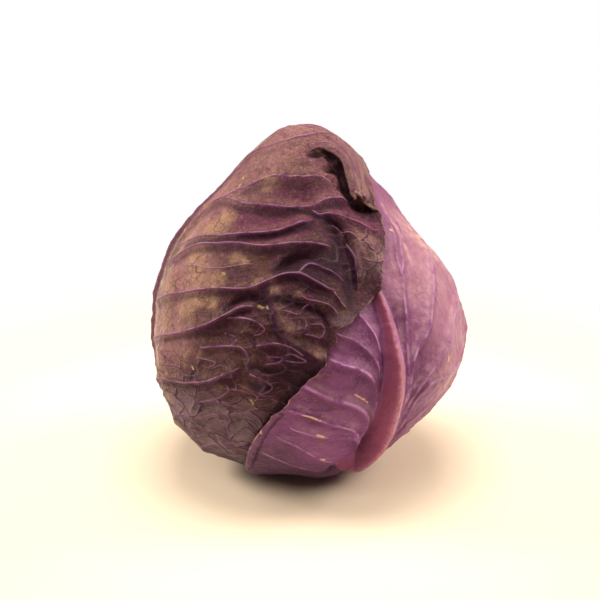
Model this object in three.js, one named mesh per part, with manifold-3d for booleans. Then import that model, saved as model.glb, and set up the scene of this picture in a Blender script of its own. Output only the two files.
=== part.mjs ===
// Red cabbage head standing on its cut stem: six wrapper leaves over a tight heart of packed leaves.
// Millimetres, +Z up, front towards -Y. The origin is the centre of the stem's cut face.
//
// Every place on the head is a direction from the head's centre: [azimuth, polar], in degrees.
// Azimuth 0 is +X and -90 is the front. Polar 0 is the crown and 180 is the stem.
// Along one direction the layers stack outwards: heart, then leaf after leaf, so they never cross.

import * as THREE from "three";
import Module from "manifold-3d";
import { mergeVertices } from "three/addons/utils/BufferGeometryUtils.js";

const wasm = await Module();
wasm.setup();

// ---- Driving dimensions ----

const CENTRE_HEIGHT = 70;
const MEAN_RADIUS = 75;

// The head's outline: [polar angle, distance from the head's centre]
const HEAD_PROFILE = [
  [0, 98], [12, 91.5], [25, 79.5], [40, 74], [55, 72], [70, 73], [85, 75], [100, 76],
  [115, 75.5], [128, 75], [140, 74.6], [150, 73.2], [160, 68.6], [170, 65.4], [180, 64.6],
];

const LEAF_THICKNESS = 1.2;
const LEAF_GAP = 1.6;
const LEAF_STEP = LEAF_THICKNESS + LEAF_GAP;
const EDGE_REST = 5;
const DRAPE_WIDTH = 24;
const BLEND_WIDTH = 32;

// Polar angle where leaf_1 and leaf_2 change places: leaf_1 lies on top above it, leaf_2 below it
const CROSSING_POLAR = 84;
const CROSSING_HALF_SPAN = 2.5;

const STEM_RADIUS = 16;
const STEM_HEIGHT = 8;
const STEM_BEVEL = 0.8;
const STEM_SIDES = 32;
const STEM_CLEARANCE = 0.8;

const LEAF_GRID = 18;
const HEART_MERIDIANS = 32;
const HEART_PARALLELS = 22;
const OUTLINE_SAMPLES = 360;

const HEART_COLOUR = 0xa57f9a;
const STEM_COLOUR = 0xd6c9a4;
const LEAF_ROUGHNESS = 0.5;
const STEM_ROUGHNESS = 0.7;

// Each leaf's middle and the outline round it, from one side of its base on the stem to the other.
// The list runs from the outermost pair to the innermost leaf.
const LEAVES = [
  {
    name: "leaf_1",
    colour: 0x5d3043,
    middle: [-152, 85],
    outline: [
      [180, 163], [-152, 163], [-134, 151], [-114, 136], [-99, 122], [-90, 106], [-86, 94], [-86, 84],
      [-79, 73], [-64, 66], [-54, 57], [-47, 46], [-38, 32], [-15, 24], [20, 20], [70, 22],
      [110, 30], [126, 45], [124, 65], [118, 85], [120, 105], [127, 128], [138, 150], [154, 163],
    ],
  },
  {
    name: "leaf_2",
    colour: 0x82486a,
    middle: [-62, 92],
    outline: [
      [-55, 163], [-78, 163], [-108, 155], [-122, 146], [-119, 134], [-107, 116], [-95, 101],
      [-87, 92], [-83, 84], [-86, 75], [-90, 62], [-88, 48], [-78, 34], [-56, 20], [0, 13],
      [24, 28], [26, 45], [18, 60], [8, 74], [-1, 88], [-6, 99], [-14, 111], [-25, 118],
      [-37, 126], [-38, 140], [-40, 154], [-44, 163],
    ],
  },
  {
    name: "leaf_3",
    colour: 0x875273,
    middle: [90, 85],
    outline: [
      [80, 163], [60, 163], [46, 150], [39, 128], [37, 105], [40, 80], [44, 60], [40, 42],
      [22, 26], [0, 12], [90, 6], [105, 16], [108, 28], [112, 44], [128, 62], [144, 80],
      [150, 100], [150, 125], [138, 148], [104, 163],
    ],
  },
  {
    name: "leaf_4",
    colour: 0x9a6a86,
    middle: [-5, 90],
    outline: [
      [-6, 163], [-30, 163], [-58, 150], [-72, 130], [-74, 105], [-68, 80], [-60, 60],
      [-44, 40], [0, 27], [42, 32], [60, 50], [68, 75], [70, 100], [66, 128], [48, 150], [18, 163],
    ],
  },
  {
    name: "leaf_5",
    colour: 0x8d5a78,
    middle: [131, 85],
    outline: [
      [131, 163], [108, 163], [84, 150], [72, 128], [66, 100], [69, 75], [76, 52], [84, 30],
      [100, 17], [140, 13], [-178, 20], [-165, 40], [-160, 65], [-158, 95], [-160, 125],
      [-175, 150], [155, 163],
    ],
  },
  {
    name: "leaf_6",
    colour: 0x7a4b66,
    middle: [-143, 90],
    outline: [
      [-143, 163], [-168, 163], [166, 150], [158, 128], [155, 100], [158, 75], [166, 52],
      [-170, 32], [-135, 22], [-100, 32], [-82, 52], [-76, 75], [-78, 100], [-85, 128],
      [-102, 150], [-120, 163],
    ],
  },
];

// Midribs that stand out of the head: azimuth, polar angles where they start and fade, width and height
const RIBS = {
  leaf_1: {
    path: [[-176, 160], [-172, 130], [-172, 105], [-176, 82], [176, 62], [170, 44]],
    halfWidth: 6,
    height: 2,
  },
  leaf_2: {
    path: [[-56, 160], [-53, 142], [-50, 126], [-53, 104], [-55, 85], [-56, 72]],
    halfWidth: 8,
    height: 4.5,
  },
  leaf_3: {
    path: [[84, 160], [82, 135], [80, 105], [78, 80], [74, 58], [66, 42]],
    halfWidth: 8,
    height: 3.5,
  },
};
const RIB_BASE_SHARE = 0.22;
const RIB_STEPS = 20;
const RIB_COLUMNS = 6;
const RIB_SINK = 0.7;

// The tip of leaf_1 folds over the crown and hangs down its right side: [azimuth, polar] along its
// two edges, from the root on the crown to the ragged end
const FLAP_LEFT_EDGE = [[-120, 3], [-60, 8], [-44, 14], [-50, 24]];
const FLAP_RIGHT_EDGE = [[60, 3], [26, 9], [6, 18], [-12, 29]];
const FLAP_LIFT = 4;
const FLAP_LIFT_START = 0.1;
const FLAP_LIFT_END = 0.8;
const FLAP_GRID = 12;
const FLAP_THICKNESS = 1;

// ---- Directions and the head's surface ----

function directionAt([azimuth, polar]) {
  const a = THREE.MathUtils.degToRad(azimuth);
  const p = THREE.MathUtils.degToRad(polar);
  return new THREE.Vector3(Math.sin(p) * Math.cos(a), Math.sin(p) * Math.sin(a), Math.cos(p));
}

function polarAngle(direction) {
  return THREE.MathUtils.radToDeg(Math.acos(THREE.MathUtils.clamp(direction.z, -1, 1)));
}

// Slope of the outline at one of its points, level at both ends so that crown and base are round
function profileSlope(index) {
  if (index === 0 || index === HEAD_PROFILE.length - 1) return 0;
  const [lowAngle, lowRadius] = HEAD_PROFILE[index - 1];
  const [highAngle, highRadius] = HEAD_PROFILE[index + 1];
  return (highRadius - lowRadius) / (highAngle - lowAngle);
}

function headRadius(direction) {
  const angle = polarAngle(direction);
  const found = HEAD_PROFILE.findIndex(([end]) => end >= angle);
  const high = Math.max(found === -1 ? HEAD_PROFILE.length - 1 : found, 1);
  const [startAngle, startRadius] = HEAD_PROFILE[high - 1];
  const [endAngle, endRadius] = HEAD_PROFILE[high];
  const span = endAngle - startAngle;
  const t = (angle - startAngle) / span;
  const rise = t * t * (3 - 2 * t);
  const startTurn = t * (1 - t) * (1 - t) * span * profileSlope(high - 1);
  const endTurn = t * t * (t - 1) * span * profileSlope(high);
  return startRadius * (1 - rise) + endRadius * rise + startTurn + endTurn;
}

function pointAt(direction, radius) {
  return new THREE.Vector3(0, 0, CENTRE_HEIGHT).addScaledVector(direction, radius);
}

// ---- Leaves as regions of the head ----

// Adds to a leaf its chart: the bearing round its middle, and how far it reaches on each bearing
function chartLeaf(leaf) {
  const centre = directionAt(leaf.middle);
  const north = new THREE.Vector3(0, 0, 1).addScaledVector(centre, -centre.z).normalize();
  const east = new THREE.Vector3().crossVectors(north, centre);
  const chart = { ...leaf, centre, north, east };
  const curve = new THREE.CatmullRomCurve3(leaf.outline.map(directionAt), true, "centripetal");
  chart.edge = curve
    .getPoints(OUTLINE_SAMPLES)
    .slice(0, OUTLINE_SAMPLES)
    .map((point) => locate(chart, point.normalize()))
    .sort((a, b) => a.bearing - b.bearing);
  return chart;
}

function locate(chart, direction) {
  return {
    reach: Math.acos(THREE.MathUtils.clamp(direction.dot(chart.centre), -1, 1)),
    bearing: Math.atan2(direction.dot(chart.east), direction.dot(chart.north)),
  };
}

// The outline on one bearing: how far it reaches, and how steeply it slants across the bearing
function edgeAt(chart, bearing) {
  const found = chart.edge.findIndex((sample) => sample.bearing > bearing);
  const next = found === -1 ? 0 : found;
  const after = chart.edge[next];
  const before = chart.edge[(next + chart.edge.length - 1) % chart.edge.length];
  const turn = 2 * Math.PI;
  const span = (after.bearing - before.bearing + turn) % turn || turn;
  const share = ((bearing - before.bearing + turn) % turn) / span;
  const reach = THREE.MathUtils.lerp(before.reach, after.reach, share);
  return { reach, slant: (after.reach - before.reach) / (span * Math.sin(reach)) };
}

// How far a direction lies outside a leaf's edge, in millimetres on the head; negative inside it
function distanceOutside(chart, direction) {
  const { reach, bearing } = locate(chart, direction);
  const edge = edgeAt(chart, bearing);
  return ((reach - edge.reach) * MEAN_RADIUS) / Math.hypot(1, edge.slant);
}

function directionInLeaf(chart, reach, bearing) {
  return chart.centre
    .clone()
    .multiplyScalar(Math.cos(reach))
    .addScaledVector(chart.north, Math.sin(reach) * Math.cos(bearing))
    .addScaledVector(chart.east, Math.sin(reach) * Math.sin(bearing));
}

// ---- How the layers stack ----

const charts = LEAVES.map(chartLeaf);

// 1 over the leaf and its very edge, and down to 0 a drape's width outside it
function coverage(chart, direction) {
  return 1 - THREE.MathUtils.smoothstep(distanceOutside(chart, direction), EDGE_REST, DRAPE_WIDTH);
}

// The same with a wide, even ramp, for the heart's surface
function softCoverage(chart, direction) {
  return 1 - THREE.MathUtils.smoothstep(distanceOutside(chart, direction), -BLEND_WIDTH, BLEND_WIDTH);
}

// How much of the lower leaf's layer the upper leaf rides on at this direction, 0 or 1
function shareOfOrder(upper, lower, direction) {
  const low = CROSSING_POLAR - CROSSING_HALF_SPAN;
  const high = CROSSING_POLAR + CROSSING_HALF_SPAN;
  const belowCrossing = THREE.MathUtils.smoothstep(polarAngle(direction), low, high);
  if (upper.name === "leaf_1" && lower.name === "leaf_2") return 1 - belowCrossing;
  if (upper.name === "leaf_2" && lower.name === "leaf_1") return belowCrossing;
  return charts.indexOf(lower) > charts.indexOf(upper) ? 1 : 0;
}

function heartRadius(direction) {
  const leavesOver = charts.reduce((sum, chart) => sum + softCoverage(chart, direction), 0);
  return headRadius(direction) - LEAF_STEP * leavesOver;
}

// Distance from the head's centre to a leaf's inner face
function innerRadius(chart, direction) {
  const layers = charts.reduce((sum, lower) => {
    const share = lower === chart ? 0 : shareOfOrder(chart, lower, direction);
    return sum + (share > 0 ? share * coverage(lower, direction) : 0);
  }, 0);
  return heartRadius(direction) + LEAF_GAP + LEAF_STEP * layers;
}

// ---- Closed sheets ----

// A closed sheet between two faces, each a function of (u, v) from 0 to 1
function closedSheet(columns, rows, outerFace, innerFace) {
  const positions = [];
  for (const face of [outerFace, innerFace]) {
    for (let row = 0; row <= rows; row += 1) {
      for (let column = 0; column <= columns; column += 1) {
        positions.push(...face(column / columns, row / rows).toArray());
      }
    }
  }
  const inner = (columns + 1) * (rows + 1);
  const at = (column, row) => row * (columns + 1) + column;
  const indices = [];
  for (let row = 0; row < rows; row += 1) {
    for (let column = 0; column < columns; column += 1) {
      const corners = [at(column, row), at(column + 1, row), at(column + 1, row + 1), at(column, row + 1)];
      const towardsMiddle = (column < columns / 2) === (row < rows / 2);
      const [a, b, c, d] = towardsMiddle ? corners : [...corners.slice(1), corners[0]];
      indices.push(a, b, c, a, c, d);
      indices.push(inner + a, inner + c, inner + b, inner + a, inner + d, inner + c);
    }
  }
  const rim = [];
  for (let column = 0; column < columns; column += 1) rim.push(at(column, 0));
  for (let row = 0; row < rows; row += 1) rim.push(at(columns, row));
  for (let column = columns; column > 0; column -= 1) rim.push(at(column, rows));
  for (let row = rows; row > 0; row -= 1) rim.push(at(0, row));
  rim.forEach((start, index) => {
    const end = rim[(index + 1) % rim.length];
    indices.push(start, inner + start, end, end, inner + start, inner + end);
  });
  const geometry = new THREE.BufferGeometry();
  geometry.setAttribute("position", new THREE.Float32BufferAttribute(positions, 3));
  geometry.setIndex(indices);
  return geometry;
}

function solidOf(geometry) {
  const bare = geometry.clone();
  bare.deleteAttribute("normal");
  bare.deleteAttribute("uv");
  const merged = mergeVertices(bare);
  const vertProperties = new Float32Array(merged.attributes.position.array);
  const triVerts = new Uint32Array(merged.index.array);
  return new wasm.Manifold(new wasm.Mesh({ numProp: 3, vertProperties, triVerts }));
}

// Joins the pieces of one leaf, and fills the slivers of air that their facets seal in between them
function joined(geometries) {
  const whole = geometries.map(solidOf).reduce((sum, next) => sum.add(next));
  const largestFirst = whole.decompose().sort((a, b) => b.volume() - a.volume());
  const mesh = largestFirst[0].getMesh();
  const geometry = new THREE.BufferGeometry();
  geometry.setAttribute("position", new THREE.BufferAttribute(mesh.vertProperties, 3));
  geometry.setIndex(new THREE.BufferAttribute(mesh.triVerts, 1));
  return geometry;
}

// ---- The pieces ----

// The square grid is rounded to a disc, and the disc is stretched out to the leaf's edge
function leafDirection(chart, u, v) {
  const x = 2 * u - 1;
  const y = 2 * v - 1;
  const east = x * Math.sqrt(1 - (y * y) / 2);
  const north = y * Math.sqrt(1 - (x * x) / 2);
  const bearing = Math.atan2(east, north);
  return directionInLeaf(chart, Math.hypot(east, north) * edgeAt(chart, bearing).reach, bearing);
}

function leafBlade(chart) {
  const face = (thickness) => (u, v) => {
    const direction = leafDirection(chart, u, v);
    return pointAt(direction, innerRadius(chart, direction) + thickness);
  };
  return closedSheet(LEAF_GRID, LEAF_GRID, face(LEAF_THICKNESS), face(0));
}

// A low arched ridge that runs up the blade and fades out at both ends
function midrib(chart, { path, halfWidth, height }) {
  const curve = new THREE.CatmullRomCurve3(path.map(directionAt), false, "centripetal");
  const place = (u, v) => {
    const along = curve.getPoint(v).normalize();
    const ahead = curve.getTangent(v);
    const across = new THREE.Vector3().crossVectors(ahead, along).normalize();
    const side = ((2 * u - 1) * halfWidth * (1 - v / 2)) / MEAN_RADIUS;
    return along.addScaledVector(across, side).normalize();
  };
  const face = (rise) => (u, v) => {
    const direction = place(u, v);
    const arch = 1 - (2 * u - 1) ** 2;
    const fade = THREE.MathUtils.smoothstep(v, 0, RIB_BASE_SHARE) * (1 - v * v);
    const sunk = innerRadius(chart, direction) + LEAF_THICKNESS - RIB_SINK;
    return pointAt(direction, sunk + rise * (RIB_SINK / 2 + (height + RIB_SINK / 2) * arch * fade));
  };
  return closedSheet(RIB_COLUMNS, RIB_STEPS, face(1), face(0));
}

// The folded tip: it leaves leaf_1 at the crown and stands off the blade towards its ragged end
function crownFlap(chart) {
  const left = new THREE.CatmullRomCurve3(FLAP_LEFT_EDGE.map(directionAt), false, "centripetal");
  const right = new THREE.CatmullRomCurve3(FLAP_RIGHT_EDGE.map(directionAt), false, "centripetal");
  const face = (thickness) => (u, v) => {
    const direction = right.getPoint(v).lerp(left.getPoint(v), u).normalize();
    const lift = FLAP_LIFT * THREE.MathUtils.smoothstep(v, FLAP_LIFT_START, FLAP_LIFT_END);
    const root = innerRadius(chart, direction) + LEAF_THICKNESS / 2;
    return pointAt(direction, root + lift + thickness);
  };
  return closedSheet(FLAP_GRID, FLAP_GRID, face(FLAP_THICKNESS), face(0));
}

function leafMesh(chart) {
  const pieces = [leafBlade(chart)];
  if (RIBS[chart.name]) pieces.push(midrib(chart, RIBS[chart.name]));
  if (chart.name === "leaf_1") pieces.push(crownFlap(chart));
  return namedMesh(chart.name, pieces.length > 1 ? joined(pieces) : pieces[0], chart.colour, LEAF_ROUGHNESS);
}

// The heart is one solid: its packed inner leaves don't show and don't part from each other
function heartMesh() {
  const geometry = new THREE.SphereGeometry(1, HEART_MERIDIANS, HEART_PARALLELS);
  geometry.rotateX(Math.PI / 2);
  const position = geometry.attributes.position;
  const seatHeight = STEM_HEIGHT + STEM_CLEARANCE;
  for (let index = 0; index < position.count; index += 1) {
    const direction = new THREE.Vector3().fromBufferAttribute(position, index).normalize();
    const seatRadius = direction.z < 0 ? (CENTRE_HEIGHT - seatHeight) / -direction.z : Infinity;
    const radius = Math.min(heartRadius(direction), seatRadius);
    position.setXYZ(index, ...pointAt(direction, radius).toArray());
  }
  geometry.deleteAttribute("normal");
  geometry.deleteAttribute("uv");
  return namedMesh("heart", mergeVertices(geometry), HEART_COLOUR, LEAF_ROUGHNESS);
}

function stemMesh() {
  const profile = [
    [0, 0], [STEM_RADIUS - STEM_BEVEL, 0], [STEM_RADIUS, STEM_BEVEL],
    [STEM_RADIUS - STEM_BEVEL, STEM_HEIGHT], [0, STEM_HEIGHT],
  ].map(([radius, height]) => new THREE.Vector2(radius, height));
  const geometry = new THREE.LatheGeometry(profile, STEM_SIDES);
  geometry.rotateX(Math.PI / 2);
  return namedMesh("cut_stem", geometry, STEM_COLOUR, STEM_ROUGHNESS);
}

function namedMesh(name, geometry, colour, roughness) {
  geometry.computeVertexNormals();
  const material = new THREE.MeshStandardMaterial({ color: colour, roughness, metalness: 0 });
  const mesh = new THREE.Mesh(geometry, material);
  mesh.name = name;
  return mesh;
}

const cabbage = new THREE.Group();
cabbage.add(stemMesh());
cabbage.add(heartMesh());
charts.forEach((chart) => cabbage.add(leafMesh(chart)));

export default cabbage;
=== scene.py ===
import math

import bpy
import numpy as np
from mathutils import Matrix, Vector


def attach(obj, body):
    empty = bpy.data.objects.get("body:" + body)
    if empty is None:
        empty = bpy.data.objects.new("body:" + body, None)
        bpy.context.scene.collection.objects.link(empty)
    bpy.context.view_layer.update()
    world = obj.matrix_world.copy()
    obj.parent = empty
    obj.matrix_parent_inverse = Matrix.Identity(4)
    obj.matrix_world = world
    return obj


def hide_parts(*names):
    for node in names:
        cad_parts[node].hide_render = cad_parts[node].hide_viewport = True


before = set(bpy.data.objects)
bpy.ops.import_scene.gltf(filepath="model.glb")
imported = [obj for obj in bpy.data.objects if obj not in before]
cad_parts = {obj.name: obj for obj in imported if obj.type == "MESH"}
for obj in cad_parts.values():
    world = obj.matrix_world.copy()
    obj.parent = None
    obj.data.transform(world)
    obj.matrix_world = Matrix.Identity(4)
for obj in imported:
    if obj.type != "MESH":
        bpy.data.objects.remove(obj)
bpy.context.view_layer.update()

# Red cabbage head on its cut stem. Millimetres while the shapes are worked out, metres in the meshes.
# Every place on the head is a direction from its centre: azimuth (0 is +X, -90 the front) and
# polar angle (0 the crown, 180 the stem), in degrees. The leaves stack outwards along a direction.
# In the functions, d is an array of such directions as unit vectors.

MM = 0.001

# ---- The head ----

CENTRE = np.array([0.0, 0.0, 70.0])
MEAN_RADIUS = 75.0
FLOOR_CLEARANCE = 0.35
NEAR_FLOOR = 2

# Outline: polar angle, distance from the centre
HEAD_PROFILE = [
    (0, 98), (12, 91.5), (25, 79.5), (40, 74), (55, 72), (70, 73), (85, 75), (100, 76),
    (115, 75.5), (128, 75), (140, 74.6), (150, 73.2), (160, 68.6), (170, 65.4), (180, 64.6),
]

# How much fuller the head is towards +X than its mean outline: polar angle, millimetres
LEAN_PROFILE = [
    (0, 0), (12, -0.5), (25, -2.6), (40, -2.5), (55, -2.6), (70, -1.4), (85, 1.2), (100, 1.5),
    (115, -2), (128, -3), (140, -2), (150, -1), (180, 0),
]

# How far the heart's skin lies inside the outline, so that the outer leaves come out on it
INSET_PROFILE = [(0, 1.4), (12, 2.0), (25, 2.2), (60, 1.6), (110, 2.0), (135, 1.0), (160, 0.3), (180, 0)]

# A leaf and the air under it, and how gently a leaf settles past the edge of the one below
THICKNESS = 1.1
GAP = 0.5
STEP = THICKNESS + GAP
EDGE_REST = 5
DRAPE_WIDTH = 24
BLEND_WIDTH = 32

# Where the margins of leaf_1 and leaf_2 cross and change places, and the degrees that it takes:
# at the crossing itself, and more for each millimetre away from it
CROSSING = (-84, 84)
CROSSING_TURN = 3.5
CROSSING_SPREAD = 0.35

# How far outside an upper leaf's edge the one below is wholly hidden, and shown
HIDING = (-5, 0.5)

# Leaves from the outermost pair to the innermost: middle, and outline from base round to base
OUTLINES = {
    "leaf_1": ((-152, 85), [
        (180, 163), (-152, 163), (-134, 151), (-114, 136), (-99, 122), (-90, 106), (-86, 94),
        (-85, 87), (-83, 83), (-80, 76), (-79, 72), (-75, 71), (-68, 67), (-58, 60), (-49, 50),
        (-43, 44), (-37, 37), (-30, 30), (-15, 24), (20, 20), (70, 22), (110, 30), (126, 45),
        (124, 65), (118, 85), (120, 105), (127, 128), (138, 150), (154, 163)]),
    "leaf_2": ((-62, 92), [
        (-55, 163), (-78, 163), (-108, 155), (-123, 146), (-119, 133), (-110, 116), (-104, 107),
        (-98, 100), (-91, 91), (-84, 84), (-86, 75), (-90, 62), (-88, 48), (-78, 34), (-56, 20),
        (0, 13), (24, 28), (26, 45), (18, 60), (8, 74), (-1, 88), (-6, 99), (-14, 111), (-25, 118),
        (-37, 126), (-38, 140), (-40, 154), (-44, 163)]),
    "leaf_3": ((90, 85), [
        (80, 163), (60, 163), (46, 150), (39, 128), (37, 105), (40, 80), (44, 60), (40, 42),
        (22, 26), (0, 12), (90, 6), (105, 16), (108, 28), (112, 44), (128, 62), (144, 80),
        (150, 100), (150, 125), (138, 148), (104, 163)]),
    "leaf_4": ((-5, 90), [
        (-6, 163), (-30, 163), (-58, 150), (-72, 130), (-74, 105), (-68, 80), (-60, 60),
        (-44, 40), (0, 27), (42, 32), (60, 50), (68, 75), (70, 100), (66, 128), (48, 150),
        (18, 163)]),
    "leaf_5": ((131, 85), [
        (131, 163), (108, 163), (84, 150), (72, 128), (66, 100), (69, 75), (76, 52), (84, 30),
        (100, 17), (140, 13), (-178, 20), (-165, 40), (-160, 65), (-158, 95), (-160, 125),
        (-175, 150), (155, 163)]),
    "leaf_6": ((-143, 90), [
        (-143, 163), (-168, 163), (166, 150), (158, 128), (155, 100), (158, 75), (166, 52),
        (-170, 32), (-135, 22), (-100, 32), (-82, 52), (-76, 75), (-78, 100), (-85, 128),
        (-102, 150), (-120, 163)]),
}

# Cells along a side of its grid; how strongly its net of small veins stands out; its fine crinkles;
# how far its margin lifts off what lies under it; how ragged that is
FIGURES = {
    "leaf_1": (288, 1.0, 0.14, 1.8, 0.9),
    "leaf_2": (288, 0.28, 0.04, 1.7, 0.55),
    "leaf_3": (264, 0.4, 0.05, 1.2, 0.8),
    "leaf_4": (216, 0.3, 0.04, 0.7, 0.5),
    "leaf_5": (216, 0.35, 0.04, 0.8, 0.6),
    "leaf_6": (192, 0.3, 0.04, 0.6, 0.5),
}

INNER_SHARE = 6

# Bulges and hollows of the whole head: azimuth, polar, size across, height
MOUNDS = [
    (-102, 21, 7, -2), (-88, 24, 6, -2), (-48, 13, 4, -2.4), (-48, 20, 4, -2.4), (-66, 13, 2, 1),
    (-46, 27, 4, -2.4), (-118, 33, 6, -1.4), (-106, 32, 6, -1.4), (-72, 36, 4, -1.4), (-69, 42, 4, -1.4),
    (-95, 49, 5, -1.6), (-106, 48, 6, -1.2), (-118, 64, 6, -0.8), (-122, 22, 6, 1.4), (-106, 14, 7, 1.2),
    (-139, 36, 6, 1.8), (-147, 44, 7, 2), (-124, 48, 5, 1), (-146, 55, 8, 1.8), (-130, 56, 7, 1.8),
    (-155, 66, 9, 1.4), (-110, 53, 5, 1.2), (-136, 68, 7, 1.6), (-142, 73, 7, 1.4), (-112, 72, 5, 1.8),
    (-94, 70, 5, 1.6), (-118, 84, 7, 1.6), (-54, 41, 5, 1.2), (-58, 53, 6, 1.4), (-88, 36, 6, 1.2),
    (-121, 96, 6, 1.4), (-106, 91, 6, 1.2), (-152, 96, 8, 1.2), (-75, 120, 8, 2), (-70, 104, 6, 1),
    (-72, 91, 6, 0.8), (-72, 139, 6, -5), (-14, 96, 9, 1.2), (-28, 62, 9, 0.8), (-3, 68, 9, 1),
    (-134, 139, 9, -2),
]

# Long dents of the whole head: path, width, depth
GROOVES = [
    ([(-82, 30.5), (-74.5, 31.5), (-68, 33.5), (-65.5, 37), (-66, 45), (-66.5, 53), (-68, 58)], 1.5, 3.6),
    ([(-61, 79), (-62, 90), (-62.5, 102), (-63.5, 111), (-66, 120), (-68, 128), (-73, 135)], 2.6, 3.2),
    ([(-60, 9.5), (-48, 11.5), (-43, 15), (-45, 19), (-47, 23), (-45, 26), (-38, 30)], 2.7, 5),
    ([(-88, 10.5), (-70, 10), (-56, 10.5)], 2, 2.8),
    ([(-72, 16), (-59, 15.8), (-46, 17)], 1.2, 2.4),
    ([(-68, 18), (-60, 20), (-52, 24)], 1.4, 1.6),
    ([(-48, 112), (-46, 96), (-44, 80), (-36, 62)], 3.4, 1),
    ([(-104, 52), (-98.5, 47.5), (-91, 45.5), (-84, 47)], 2.2, 2.2),
    ([(-123, 68), (-117, 63), (-112, 61.5), (-104, 63)], 2.2, 2.2),
    ([(-99, 53.5), (-93, 54), (-88, 56), (-82, 57.5)], 1.5, 1.3),
    ([(-129, 42), (-119, 39.5), (-108, 37.5), (-97, 35), (-86, 33)], 2.4, 1.6),
    ([(-103, 61), (-96, 62), (-90, 64)], 2, 1.4),
    ([(-89, 64), (-83.5, 67), (-82, 71)], 1.4, 1.6),
    ([(-72, 36), (-71, 44.5), (-71.5, 50.5), (-71, 58)], 3, 1.4),
]


# A dent's depth follows half a wave: its path starts this far along it and takes this much of it
GROOVE_END = 0.12
GROOVE_LENGTH = 0.76

# Small unevenness, in rows for ripples(), here and further down
BALL_WAVES = [(0.5, 55, 3)]
HEAD_WAVES = [(0.22, 24, 4)]


def smoothstep(x, low, high):
    t = np.clip((x - low) / (high - low), 0, 1)
    return t * t * (3 - 2 * t)


def aim(points):
    """Unit directions for (azimuth, polar) pairs in degrees."""
    azimuth, polar = np.radians(np.array(points, float)).T
    return np.stack([np.sin(polar) * np.cos(azimuth), np.sin(polar) * np.sin(azimuth), np.cos(polar)], -1)


def unit(vectors):
    return vectors / np.linalg.norm(vectors, axis=-1, keepdims=True)


def polar_of(d):
    return np.degrees(np.arccos(np.clip(d[..., 2], -1, 1)))


def profile(points, angle):
    """A smooth line through (angle, value) points, level at both ends."""
    x, y = np.array(points, float).T
    slope = np.zeros_like(y)
    slope[1:-1] = (y[2:] - y[:-2]) / (x[2:] - x[:-2])
    k = np.clip(np.searchsorted(x, angle), 1, len(x) - 1)
    span = x[k] - x[k - 1]
    t = (angle - x[k - 1]) / span
    rise = t * t * (3 - 2 * t)
    turns = t * (1 - t) ** 2 * span * slope[k - 1] + t * t * (t - 1) * span * slope[k]
    return y[k - 1] * (1 - rise) + y[k] * rise + turns


def curve(points, closed=False, steps=14):
    """Unit directions along a smooth line through the (azimuth, polar) points."""
    p = aim(points)
    if closed:
        p = np.concatenate([p[-1:], p, p[:2]])
    else:
        p = np.concatenate([2 * p[:1] - p[1:2], p, 2 * p[-1:] - p[-2:-1]])
    t = np.linspace(0, 1, steps, endpoint=False)[:, None]
    pieces = []
    for a, b, c, e in zip(p[:-3], p[1:-2], p[2:-1], p[3:]):
        before, span, after = (max(np.linalg.norm(m - n), 1e-6) ** 0.5 for m, n in ((b, a), (c, b), (e, c)))
        start = span * ((b - a) / before - (c - a) / (before + span) + (c - b) / span)
        end = span * ((c - b) / span - (e - b) / (span + after) + (e - c) / after)
        rise = t * t * (3 - 2 * t)
        pieces.append(b * (1 - rise) + c * rise + t * (1 - t) ** 2 * start + t * t * (t - 1) * end)
    if not closed:
        pieces.append(p[-2:-1])
    return unit(np.concatenate(pieces))


def even(path, spacing=1.0):
    """The same line with its points an even spacing apart, in millimetres on the head."""
    length = np.concatenate([[0], np.cumsum(np.linalg.norm(np.diff(path, axis=0), axis=1))]) * MEAN_RADIUS
    marks = np.linspace(0, length[-1], max(int(length[-1] / spacing), 4))
    return unit(np.stack([np.interp(marks, length, path[:, k]) for k in range(3)], -1))


def beside(d, path):
    """How each direction lies by a line: signed distance across it, share along it, and distance from it."""
    near = np.argmax(d @ path.T, axis=1)
    ahead = unit(np.gradient(path, axis=0))
    across = np.cross(path, ahead)[near]
    offset = d - path[near]
    side = MEAN_RADIUS * np.sum(offset * across, axis=1)
    along = MEAN_RADIUS * np.sum(offset * ahead[near], axis=1)
    last = len(path) - 1
    over = np.where(near == 0, np.maximum(-along, 0), np.where(near == last, np.maximum(along, 0), 0))
    return side, np.clip((near + along) / last, 0, 1), np.hypot(side, over)


def ripple(d, wavelength, seed, waves=16):
    """Smooth seeded noise of about unit size with features a wavelength across, in millimetres."""
    rng = np.random.default_rng(seed)
    heading = unit(rng.normal(size=(waves, 3)))
    pace = 2 * np.pi * MEAN_RADIUS / wavelength * rng.uniform(0.7, 1.4, waves)
    phase = rng.uniform(0, 2 * np.pi, waves)
    return np.sin(d @ (heading * pace[:, None]).T + phase).sum(axis=1) * math.sqrt(2 / waves)


def ripples(d, rows, seed=0):
    """Noise added up from rows: its height and size across in millimetres, and a seed of its own."""
    return sum(height * ripple(d, size, seed + own) for height, size, own in rows)


def folds(d, wavelength, seed):
    """Soft level creases: 1 on a crease."""
    return np.clip(1 - np.abs(ripple(unit(d * [1, 1, 1.9]), wavelength, seed, 10)), 0, 1) ** 2


def spot(d, azimuth, polar, size):
    """1 at a place on the head and fading out over the size."""
    gap = MEAN_RADIUS * np.linalg.norm(d - aim([(azimuth, polar)]), axis=1)
    return np.exp(-((gap / size) ** 2))


def spots(d, places):
    return sum((height * spot(d, *place) for *place, height in places), np.zeros(len(d)))


# ---- Leaves as regions of the head ----


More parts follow.
